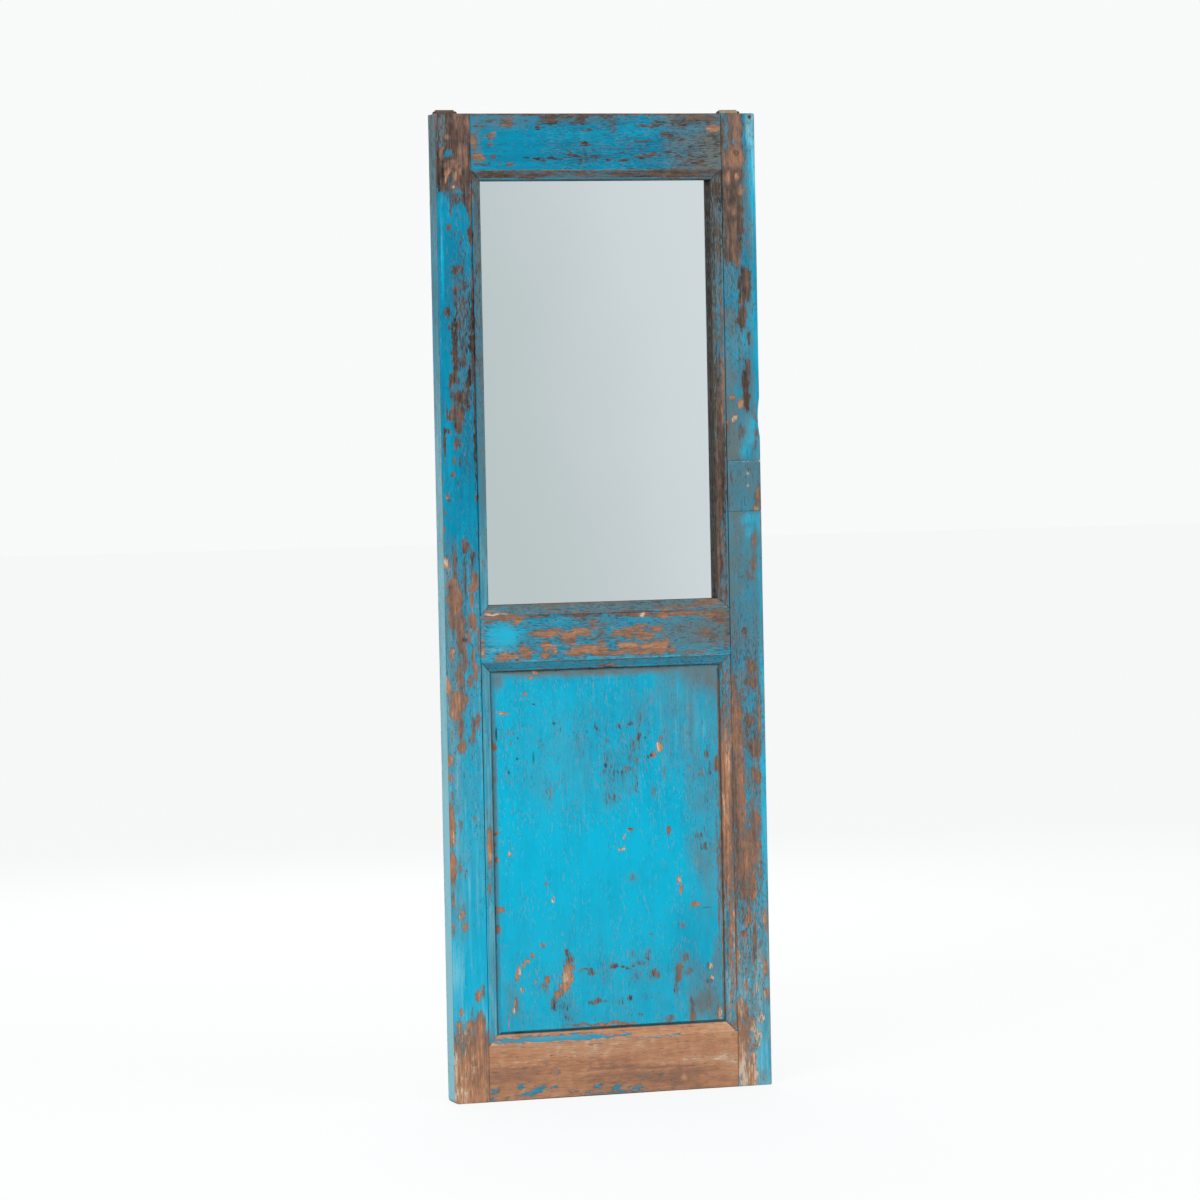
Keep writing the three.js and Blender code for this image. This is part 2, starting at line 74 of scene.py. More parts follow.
def calculate(tree, operation, first, second=0.0, clamp=False):
    inputs = {0: first, 1: second}
    return addNode(tree, "ShaderNodeMath", inputs, operation=operation, use_clamp=clamp).outputs[0]


def centred(tree, value, strength):
    # a value between 0 and 1 becomes one that swings round zero
    return calculate(tree, "MULTIPLY", calculate(tree, "SUBTRACT", value, 0.5), strength)


def rampUp(tree, value, low, high, start=0.0, end=1.0):
    limits = {"Value": value, "From Min": low, "From Max": high, "To Min": start, "To Max": end}
    return addNode(tree, "ShaderNodeMapRange", limits, interpolation_type="SMOOTHSTEP").outputs[0]


def blendColours(tree, factor, first, second):
    made = addNode(tree, "ShaderNodeMix", {0: factor}, data_type="RGBA", clamp_factor=True)
    for socket, colour in ((6, first), (7, second)):
        linked = isinstance(colour, bpy.types.NodeSocket)
        fillSockets(tree, made, {socket: colour if linked else (*colour, 1)})
    return made.outputs[2]


def coat(tree, mask, strength, under, over):
    return blendColours(tree, calculate(tree, "MULTIPLY", mask, strength), under, over)


def colourRamp(tree, value, colours):
    ramp = addNode(tree, "ShaderNodeValToRGB", {0: value})
    stops = ramp.color_ramp.elements
    for at, (place, colour) in enumerate(colours):
        stop = stops[at] if at < 2 else stops.new(place)
        stop.position = place
        stop.color = (*colour, 1)
    return ramp.outputs[0]


def noiseAt(tree, vector, scale, stretch=1.0, detail=3.0, roughness=0.55, distortion=0.0):
    # a stretch below 1 draws the pattern out along Z
    drawn = addNode(tree, "ShaderNodeVectorMath", {0: vector, 1: (1, 1, stretch)}, operation="MULTIPLY")
    inputs = {
        "Vector": drawn.outputs[0],
        "Scale": scale,
        "Detail": detail,
        "Roughness": roughness,
        "Distortion": distortion,
    }
    return addNode(tree, "ShaderNodeTexNoise", inputs).outputs[0]


def alongGrain(tree, place, grain, offset=(0, 0, 0)):
    turn = (0, radians(90), 0) if grain == "across" else (0, 0, 0)
    inputs = {"Vector": place, "Location": offset, "Rotation": turn}
    return addNode(tree, "ShaderNodeMapping", inputs).outputs[0]


def relief(tree, height, strength, distance):
    inputs = {"Height": height, "Strength": strength, "Distance": distance}
    return addNode(tree, "ShaderNodeBump", inputs).outputs[0]


def newMaterial(name):
    material = bpy.data.materials.new(name)
    material.use_nodes = True
    tree = material.node_tree
    return material, tree, addNode(tree, "ShaderNodeTexCoord").outputs["Object"]


def newGroup(name, inputs, outputs):
    tree = bpy.data.node_groups.new(name, "ShaderNodeTree")
    tree.interface.new_socket("Vector", in_out="INPUT", socket_type="NodeSocketVector")
    for socketName, value in inputs.items():
        socket = tree.interface.new_socket(socketName, in_out="INPUT", socket_type="NodeSocketFloat")
        socket.default_value = value
    for socketName in outputs:
        tree.interface.new_socket(socketName, in_out="OUTPUT", socket_type="NodeSocketFloat")
    return tree, addNode(tree, "NodeGroupInput").outputs, addNode(tree, "NodeGroupOutput")


def useGroup(tree, group, inputs):
    made = addNode(tree, "ShaderNodeGroup", node_tree=group)
    fillSockets(tree, made, inputs)
    return made.outputs


# Camera, lamps, world and floor

camera = {
    "place": (-2.2768, -7.1983, 1.0541),
    "yaw": 17.54,
    "pitch": 2.245,
    "roll": -1.13,
    "lens": 147.99,
}

cameraData = bpy.data.cameras.new("camera")
cameraData.lens = camera["lens"]
cameraObject = bpy.data.objects.new("camera", cameraData)
bpy.context.scene.collection.objects.link(cameraObject)
cameraObject.matrix_world = (
    Matrix.Translation(camera["place"])
    @ Matrix.Rotation(radians(-camera["yaw"]), 4, "Z")
    @ Matrix.Rotation(radians(90 - camera["pitch"]), 4, "X")
    @ Matrix.Rotation(radians(camera["roll"]), 4, "Z")
)
bpy.context.scene.camera = cameraObject
bpy.context.scene.view_settings.view_transform = "Standard"

light = {
    "ambient": 0.78,
    "ambientColour": (0.95, 0.98, 1.0),
    "lamps": {
        "window": {"place": (-2.6, -3.2, 3.0), "size": 1.8, "power": 125, "aim": (0, 0, 0.8)},
        "room": {"place": (2.8, -3.6, 1.6), "size": 2.4, "power": 48, "aim": (0, 0, 0.7)},
        "behind": {"place": (0.6, 3.2, 2.4), "size": 2.4, "power": 70, "aim": (0, 0, 0.8)},
    },
    "backdrop": (0.945, 0.95, 0.955),
    "wallSide": (0.95, 0.95, 0.95),
    "roomSide": (0.70, 0.73, 0.75),
    "floor": {"size": 60, "lit": (0.20, 0.20, 0.20), "seen": (0.10, 0.10, 0.10), "glow": (0.85, 0.853, 0.856)},
}

for name, lamp in light["lamps"].items():
    lampData = bpy.data.lights.new(name, "AREA")
    lampData.shape = "DISK"
    lampData.size = lamp["size"]
    lampData.energy = lamp["power"]
    lampObject = bpy.data.objects.new(name, lampData)
    bpy.context.scene.collection.objects.link(lampObject)
    aim = Vector(lamp["aim"]) - Vector(lamp["place"])
    lampObject.matrix_world = Matrix.Translation(lamp["place"]) @ aim.to_track_quat("-Z", "Y").to_matrix().to_4x4()

world = bpy.data.worlds.new("pale room")
bpy.context.scene.world = world
world.use_nodes = True
tree = world.node_tree
tree.nodes.clear()
rays = addNode(tree, "ShaderNodeLightPath").outputs
towards = addNode(tree, "ShaderNodeTexCoord").outputs["Generated"]
alongY = addNode(tree, "ShaderNodeSeparateXYZ", {0: towards}).outputs["Y"]
seen = blendColours(tree, rampUp(tree, alongY, -0.35, 0.25), light["roomSide"], light["wallSide"])
ambient = addNode(tree, "ShaderNodeBackground", {"Color": (*light["ambientColour"], 1), "Strength": light["ambient"]})
mirrored = addNode(tree, "ShaderNodeBackground", {"Color": seen, "Strength": 1.0})
backdrop = addNode(tree, "ShaderNodeBackground", {"Color": (*light["backdrop"], 1), "Strength": 1.0})
glossy = addNode(tree, "ShaderNodeMixShader", {0: rays["Is Glossy Ray"], 1: ambient.outputs[0], 2: mirrored.outputs[0]})
whole = addNode(tree, "ShaderNodeMixShader", {0: rays["Is Camera Ray"], 1: glossy.outputs[0], 2: backdrop.outputs[0]})
addNode(tree, "ShaderNodeOutputWorld", {"Surface": whole.outputs[0]})

bpy.ops.object.select_all(action="DESELECT")
bpy.ops.mesh.primitive_plane_add(size=light["floor"]["size"])
floor = bpy.context.object
floor.name = "floor"
floorPaint = bpy.data.materials.new("pale floor")
floorPaint.use_nodes = True
tree = floorPaint.node_tree
tree.nodes.clear()
rays = addNode(tree, "ShaderNodeLightPath").outputs
floorTone = blendColours(tree, rays["Is Camera Ray"], light["floor"]["lit"], light["floor"]["seen"])
floorGlow = {"Color": (*light["floor"]["glow"], 1), "Strength": rays["Is Camera Ray"]}
matt = addNode(tree, "ShaderNodeBsdfDiffuse", {"Color": floorTone})
glow = addNode(tree, "ShaderNodeEmission", floorGlow)
room = addNode(tree, "ShaderNodeEmission", {"Color": (*light["roomSide"], 1), "Strength": 1.0})
lit = addNode(tree, "ShaderNodeAddShader", {0: matt.outputs[0], 1: glow.outputs[0]})
floorLook = addNode(tree, "ShaderNodeMixShader", {0: rays["Is Glossy Ray"], 1: lit.outputs[0], 2: room.outputs[0]})
addNode(tree, "ShaderNodeOutputMaterial", {"Surface": floorLook.outputs[0]})
floor.data.materials.append(floorPaint)
print("camera, lamps and floor made")


# Effects that several finishes share; the grain runs along Z of the vector

tree, given, out = newGroup("wood fibre", {}, ("Fibre", "Pores"))
broad = noiseAt(tree, given["Vector"], 55, 0.07, 3, 0.6, 0.4)
fine = noiseAt(tree, given["Vector"], 380, 0.045, 4, 0.65, 0.2)
fibre = calculate(tree, "ADD", calculate(tree, "MULTIPLY", broad, 0.55), calculate(tree, "MULTIPLY", fine, 0.45))
pores = rampUp(tree, noiseAt(tree, given["Vector"], 800, 0.04, 2, 0.5), 0.60, 0.68)
fillSockets(tree, out, {"Fibre": rampUp(tree, fibre, 0.34, 0.66), "Pores": pores})
woodFibre = tree

tree, given, out = newGroup("paint flakes", {"Loss": 0.3, "Ragged": 1.0}, ("Bare", "ChipShadow"))
ragged = None
for scale, stretch, detail, strength in ((130, 0.32, 4, 1.0), (430, 0.24, 4, 2.0), (1100, 0.08, 3, 2.3)):
    part = centred(tree, noiseAt(tree, given["Vector"], scale, stretch, detail, 0.6), strength)
    ragged = part if ragged is None else calculate(tree, "ADD", ragged, part)
ragged = calculate(tree, "MULTIPLY", ragged, given["Ragged"])
ragged = calculate(tree, "MULTIPLY", ragged, rampUp(tree, given["Loss"], 0.0, 0.45, 0.3, 1.0))
level = calculate(tree, "ADD", given["Loss"], ragged)
bare = rampUp(tree, level, 0.46, 0.55)
# the thin ring just short of each chip is a painted shadow of the broken paint edge
chipShadow = calculate(tree, "SUBTRACT", rampUp(tree, level, 0.38, 0.47), bare, True)
fillSockets(tree, out, {"Bare": bare, "ChipShadow": chipShadow})
paintFlakes = tree

tree, given, out = newGroup("checks and flecks", {"Density": 0.3}, ("Crack", "Fleck"))
lines = noiseAt(tree, given["Vector"], 260, 0.06, 2, 0.5, 0.3)
ridge = calculate(tree, "ABSOLUTE", calculate(tree, "SUBTRACT", lines, 0.5))
line = rampUp(tree, ridge, 0.0, 0.022, 0.8, 0)
places = noiseAt(tree, given["Vector"], 45, 0.25, 4, 0.65)
reach = calculate(tree, "ADD", places, calculate(tree, "MULTIPLY", given["Density"], 0.45))
line = calculate(tree, "MULTIPLY", line, rampUp(tree, reach, 0.70, 0.92))
weathered = rampUp(tree, reach, 0.50, 0.95)
shown = rampUp(tree, weathered, 0.0, 0.12)
masks = []
for scale, stretch, move, keep in ((820, 0.20, 0.0, 0.63), (700, 0.16, 0.37, 0.62)):
    shifted = {0: given["Vector"], 1: (move, move, move)}
    moved = addNode(tree, "ShaderNodeVectorMath", shifted, operation="ADD").outputs[0]
    more = calculate(tree, "MULTIPLY", weathered, 0.075)
    speck = calculate(tree, "ADD", noiseAt(tree, moved, scale, stretch, 3, 0.6), more)
    masks.append(calculate(tree, "MULTIPLY", rampUp(tree, speck, keep, keep + 0.05), shown))
fillSockets(tree, out, {"Crack": calculate(tree, "MAXIMUM", line, masks[0]), "Fleck": masks[1]})
checksAndFlecks = tree

tree, given, out = newGroup("film", {"Amount": 0.3, "Scale": 60.0, "Spread": 1.1}, ("Mask",))
cloud = noiseAt(tree, given["Vector"], given["Scale"], 0.4, 4, 0.6)
spread = centred(tree, cloud, given["Spread"])
spread = calculate(tree, "MULTIPLY", spread, rampUp(tree, given["Amount"], 0.0, 0.3))
fillSockets(tree, out, {"Mask": calculate(tree, "ADD", given["Amount"], spread, True)})
filmGroup = tree


# Old paint over timber. Attribute "wear" holds paint loss, tone of the bare wood and cracks,
# with seams in its alpha; attribute "film" holds grime, brightness and fading. In places the grime
# level also paints shade, and the brightness and fading levels paint a highlight.

paint = {
    "deep": (0.001, 0.200, 0.330),
    "bright": (0.001, 0.470, 0.700),
    "grey": (0.098, 0.172, 0.186),
    "earth": (0.165, 0.150, 0.118),
    "faded": (0.300, 0.660, 0.760),
    "thin": (0.130, 0.158, 0.162),
    "fleck": (0.300, 0.270, 0.290),
    "grime": (0.075, 0.072, 0.056),
    "seam": (0.018, 0.016, 0.013),
    "crack": (0.040, 0.045, 0.045),
    # the next colour is the painted shadow round paint chips
    "chipShadow": (0.040, 0.095, 0.120),
    "wood": (
        (0.0, (0.028, 0.019, 0.016)), (0.22, (0.098, 0.064, 0.052)), (0.36, (0.160, 0.098, 0.075)),
        (0.5, (0.262, 0.152, 0.108)), (0.66, (0.370, 0.186, 0.112)), (0.8, (0.510, 0.245, 0.132)),
        (0.9, (0.560, 0.320, 0.190)), (1.0, (0.740, 0.580, 0.440)),
    ),
    "roughness": (0.5, 0.8),
    "relief": 0.0004,
}


def paintedTimber(name, look):
    material, tree, place = newMaterial(name)
    along = alongGrain(tree, place, look["grain"], look["offset"])
    wear = addNode(tree, "ShaderNodeAttribute", attribute_name="wear").outputs
    film = addNode(tree, "ShaderNodeAttribute", attribute_name="film").outputs
    loss, tone, cracks = addNode(tree, "ShaderNodeSeparateColor", {0: wear["Color"]}).outputs
    grime, bright, faded = addNode(tree, "ShaderNodeSeparateColor", {0: film["Color"]}).outputs
    wood = useGroup(tree, woodFibre, {"Vector": along})
    flakes = useGroup(tree, paintFlakes, {"Vector": along, "Loss": loss})
    checks = useGroup(tree, checksAndFlecks, {"Vector": along, "Density": cracks})
    clouded = look.get("clouded", 0.45)
    filmed = {"Vector": along, "Amount": grime, "Scale": 45.0, "Spread": 2.4 * clouded}
    dirtAndShade = useGroup(tree, filmGroup, filmed)["Mask"]

    # the paint: brushed, faded, grimy, rubbed thin; in places the fading carries painted highlights and the grime
    # painted shade
    brush = noiseAt(tree, along, 230, 0.06, 3, 0.6)
    lift = centred(tree, brush, look["brushed"])
    drift = centred(tree, noiseAt(tree, along, 28, 0.5, 3, 0.55), clouded)
    shade = calculate(tree, "ADD", bright, calculate(tree, "ADD", lift, drift), True)
    colour = blendColours(tree, shade, paint["deep"], paint["bright"])
    chalkyAndGlint = rampUp(tree, calculate(tree, "ADD", faded, centred(tree, brush, 1.1)), 0.1, 0.9)
    colour = coat(tree, chalkyAndGlint, rampUp(tree, faded, 0.0, 0.12), colour, paint["faded"])
    blotches = centred(tree, noiseAt(tree, along, 70, 0.3, 4, 0.65), 1.6)
    brown = calculate(tree, "ADD", film["Alpha"], blotches, True)
    colour = coat(tree, dirtAndShade, 0.85, colour, blendColours(tree, brown, paint["grey"], paint["earth"]))
    rubbed = calculate(tree, "ADD", loss, centred(tree, noiseAt(tree, along, 420, 0.12, 4, 0.65), 1.3))
    colour = blendColours(tree, rampUp(tree, rubbed, 0.28, 0.76, 0.0, 0.75), colour, paint["thin"])
    colour = coat(tree, wood["Pores"], 0.12, colour, paint["grime"])
    # a painted shadow darkens the paint round each chip
    colour = coat(tree, flakes["ChipShadow"], 0.55, colour, paint["chipShadow"])

    # the bare timber, then checks and seams over both
    streak = centred(tree, wood["Fibre"], look["streaked"])
    mottle = centred(tree, noiseAt(tree, along, 240, 0.3, 4, 0.65), look.get("mottled", 0.7))
    toned = calculate(tree, "ADD", tone, calculate(tree, "ADD", streak, mottle), True)
    timber = colourRamp(tree, toned, paint["wood"])
    colour = coat(tree, checks["Fleck"], 0.45, colour, blendColours(tree, 0.3, timber, paint["fleck"]))
    timber = coat(tree, wood["Pores"], 0.3, timber, paint["grime"])
    timber = coat(tree, dirtAndShade, 0.3, timber, paint["grime"])
    colour = blendColours(tree, flakes["Bare"], colour, timber)
    darkness = rampUp(tree, flakes["Bare"], 0, 1, look.get("checkDepth", 0.6), 0.2)
    colour = coat(tree, checks["Crack"], darkness, colour, paint["crack"])
    colour = coat(tree, rampUp(tree, wear["Alpha"], 0.2, 0.8), 0.75, colour, paint["seam"])

    height = calculate(tree, "SUBTRACT", calculate(tree, "MULTIPLY", wood["Fibre"], 0.35), flakes["Bare"])
    height = calculate(tree, "SUBTRACT", height, calculate(tree, "MULTIPLY", checks["Crack"], 0.8))
    smooth, rough = paint["roughness"]
    dull = calculate(tree, "ADD", flakes["Bare"], calculate(tree, "MULTIPLY", dirtAndShade, 0.4), True)
    fillSockets(tree, tree.nodes["Principled BSDF"], {
        "Base Color": colour,
        "Roughness": rampUp(tree, dull, 0, 1, smooth, rough),
        "Normal": relief(tree, height, 0.7, paint["relief"]),
        "Specular IOR Level": 0.06,
    })
    return material


# Timber pieces: a node's own joinery, cut finer, its arrises worn and its face weathered.
# Lengths are in millimetres, noise scales per metre. Strokes no paler than solidTone leave
# some of their paint standing.

timberWear = {
    "nearest": 0.2,
    "sharp": 28,
    "chips": {"broad": 38, "fine": 140, "least": 0.08, "passes": 4},
    "hollows": {"along": 6, "across": 30, "depth": 0.25},
    "wander": {"scale": 95, "along": 5, "across": 2.2, "light": 0.08},
    "zones": {"opening": (70, 440), "moulded": 8.9, "back": 30, "edge": 2.6, "left": 0.6, "right": 4.2},
    "strokes": {"solidTone": 0.6, "broken": 0.86, "halo": 1.5, "toned": 1.6},
}


def select(piece):
    bpy.ops.object.select_all(action="DESELECT")
    piece.select_set(True)
    bpy.context.view_layer.objects.active = piece


def copyOfNode(node, name):
    piece = bpy.data.objects.new(name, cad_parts[node].data.copy())
    bpy.context.scene.collection.objects.link(piece)
    piece.data.materials.clear()
    select(piece)
    bpy.ops.object.mode_set(mode="EDIT")
    bpy.ops.mesh.select_all(action="SELECT")
    bpy.ops.mesh.customdata_custom_splitnormals_clear()
    bpy.ops.mesh.remove_doubles(threshold=0.00001)
    bpy.ops.object.mode_set(mode="OBJECT")
    return piece


def apply(piece, kind, **settings):
    modifier = piece.modifiers.new(kind.lower(), kind)
    for name, value in settings.items():
        setattr(modifier, name, value)
    select(piece)
    bpy.ops.object.modifier_apply(modifier=modifier.name)


def cutFiner(piece, node, steps, extra):
    # even cuts along each axis, then more where an edge needs them, all in millimetres
    low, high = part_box(node)
    nearest = timberWear["nearest"]
    bpy.ops.object.mode_set(mode="EDIT")
    bpy.ops.mesh.select_all(action="SELECT")
    bpy.ops.mesh.dissolve_limited(angle_limit=radians(0.5))
    for axis, step in enumerate(steps):
        start, end = low[axis] * 1000, high[axis] * 1000
        count = max(1, round((end - start) / step))
        places = list(np.linspace(start, end, count + 1)[1:-1])
        offset = (-leaf["width"] / 2, leaf["front"], 0)[axis]
        for place in extra.get("xyz"[axis], ()):
            places.append(leaf["height"] - place if axis == 2 else place + offset)
        for place in places:
            if start + nearest < place < end - nearest:
                bpy.ops.mesh.select_all(action="SELECT")
                point = [place / 1000 if at == axis else 0 for at in range(3)]
                normal = [float(at == axis) for at in range(3)]
                bpy.ops.mesh.bisect(plane_co=point, plane_no=normal)
    bpy.ops.object.mode_set(mode="OBJECT")
    apply(piece, "SUBSURF", subdivision_type="SIMPLE", levels=2, render_levels=2)


def wearArrises(piece, grain, softness):
    chips, dents = timberWear["chips"], timberWear["hollows"]
    bpy.ops.object.mode_set(mode="EDIT")
    bpy.ops.mesh.select_mode(type="EDGE")
    bpy.ops.mesh.select_all(action="DESELECT")
    bpy.ops.mesh.edges_select_sharp(sharpness=radians(timberWear["sharp"]))
    bpy.ops.mesh.select_mode(type="VERT")
    bpy.ops.object.mode_set(mode="OBJECT")
    arris = piece.vertex_groups.new(name="arris")
    hollows = piece.vertex_groups.new(name="hollows")
    pull = Vector([dents["across"]] * 3)
    pull[0 if grain == "across" else 2] = dents["along"]
    for vertex in piece.data.vertices:
        if vertex.select:
            broad, fine = (noise.noise(vertex.co * chips[size]) for size in ("broad", "fine"))
            knocked = (0.5 + 0.9 * broad + 0.4 * fine) * softness
            arris.add([vertex.index], min(1.0, max(chips["least"], knocked)), "REPLACE")
        dip = 0.5 + 0.9 * noise.noise(vertex.co * pull)
        hollows.add([vertex.index], min(1.0, max(0.0, dip)), "REPLACE")
    apply(piece, "SMOOTH", factor=0.5, iterations=chips["passes"], vertex_group="arris")
    apply(piece, "DISPLACE", strength=-dents["depth"] / 1000, mid_level=0.0, vertex_group="hollows")


def stroke(across, drop, x, t, halfWidth, halfLength):
    # full inside half its reach, gone at one and a half times it
    away = np.hypot((across - x) / halfWidth, (drop - t) / halfLength)
    return np.clip(1.5 - away, 0, 1)


def band(across, drop, x0, x1, t0, t1, soft):
    inside = np.minimum(np.minimum(across - x0, x1 - across), np.minimum(drop - t0, t1 - drop))
    return np.clip(0.5 + inside / soft, 0, 1)


def levelAlong(levels, drop):
    # one level for the whole piece, or (drop, level) pairs
    return np.interp(drop, *zip(*levels)) if isinstance(levels, tuple) else np.full(len(drop), float(levels))


def paintWear(piece, look):
    wander, zones, strokes = timberWear["wander"], timberWear["zones"], timberWear["strokes"]
    points = np.empty(len(piece.data.vertices) * 3)
    piece.data.vertices.foreach_get("co", points)
    points = points.reshape(-1, 3) * 1000
    across = points[:, 0] + leaf["width"] / 2
    drop = leaf["height"] - points[:, 2]
    depth = points[:, 1] - leaf["front"]
    shift = np.array([noise.noise_vector(vertex.co * wander["scale"]) for vertex in piece.data.vertices])
    pullX, pullT = wander["across"], wander["along"]
    if look["grain"] == "across":
        pullX, pullT = pullT, pullX
    roughX, roughT = across + shift[:, 0] * pullX, drop + shift[:, 2] * pullT
    face = {channel: levelAlong(levels, drop) for channel, levels in {"earth": 0.3, **look["base"]}.items()}
    for x0, x1, t0, t1, soft, levels in look.get("bands", ()):
        reach = band(across, drop, x0, x1, t0, t1, soft)
        for channel, level in levels.items():
            face[channel] += (levelAlong(level, drop) - face[channel]) * reach
    for x, t, halfWidth, halfLength, loss, tone in look["worn"]:
        reach = stroke(roughX, roughT, x, t, halfWidth, halfLength)
        solid = 1.0 if tone > strokes["solidTone"] else look.get("broken", strokes["broken"])
        face["loss"] = np.maximum(face["loss"], solid * loss * reach)
        if solid < 1 and "smudged" in look:
            halo = stroke(roughX, roughT, x, t, strokes["halo"] * halfWidth, strokes["halo"] * halfLength)
            face["grime"] = np.maximum(face["grime"], look["smudged"] * loss * halo)
        face["tone"] += (tone - face["tone"]) * np.clip(strokes["toned"] * reach, 0, 1)
    for x, t, halfWidth, halfLength, kept in look.get("kept", ()):
        face["loss"] *= 1 - kept * stroke(roughX, roughT, x, t, halfWidth, halfLength)
    for channel in ("cracks", "grime", "bright", "faded", "seam", "earth"):
        for x, t, halfWidth, halfLength, level in look.get(channel, ()):
            reach = stroke(across, drop, x, t, halfWidth, halfLength)
            face[channel] += (level - face[channel]) * reach
    left, right = zones["opening"]
    atSides = (across < zones["left"]) | (across > leaf["width"] - zones["right"])
    inOpening = (across > left) & (across < right)
    parts = {
        "back": depth > look.get("backFrom", zones["back"]),
        "side": atSides & (depth > zones["edge"]),
        # the reveals inside the opening take dark levels, for dirt and as painted shade
        "revealDirtAndShade": inOpening & (depth > zones["moulded"]) & (depth < zones["back"]),
    }
    for part, where in parts.items():
        for channel, levels in look.get(part, {}).items():
            face[channel] = np.where(where, levelAlong(levels, drop), face[channel])
    for channel in ("bright", "tone"):
        face[channel] = face[channel] + shift[:, 1] * wander["light"]
    layers = {"wear": ("loss", "tone", "cracks", "seam"), "film": ("grime", "bright", "faded", "earth")}
    for name, channels in layers.items():
        columns = [face[channel] for channel in channels]
        layer = piece.data.attributes.new(name, "FLOAT_COLOR", "POINT")
        layer.data.foreach_set("color", np.clip(np.stack(columns, 1), 0, 1).ravel())


def timberPiece(look):
    node = look["node"]
    piece = copyOfNode(node, node + "_timber")
    cutFiner(piece, node, look["steps"], look["cuts"])
    wearArrises(piece, look["grain"], look["softness"])
    paintWear(piece, look)
    piece.data.materials.append(paintedTimber(node + " paint", look))
    bpy.ops.object.shade_smooth_by_angle(angle=radians(32))
    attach(piece, "frame")
    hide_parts(node)
    print(node, "made:", sum(len(face.vertices) - 2 for face in piece.data.polygons), "triangles")


oldBack = {"loss": 0.86, "tone": 0.34, "grime": 0.3, "faded": 0.0, "cracks": 0.7}

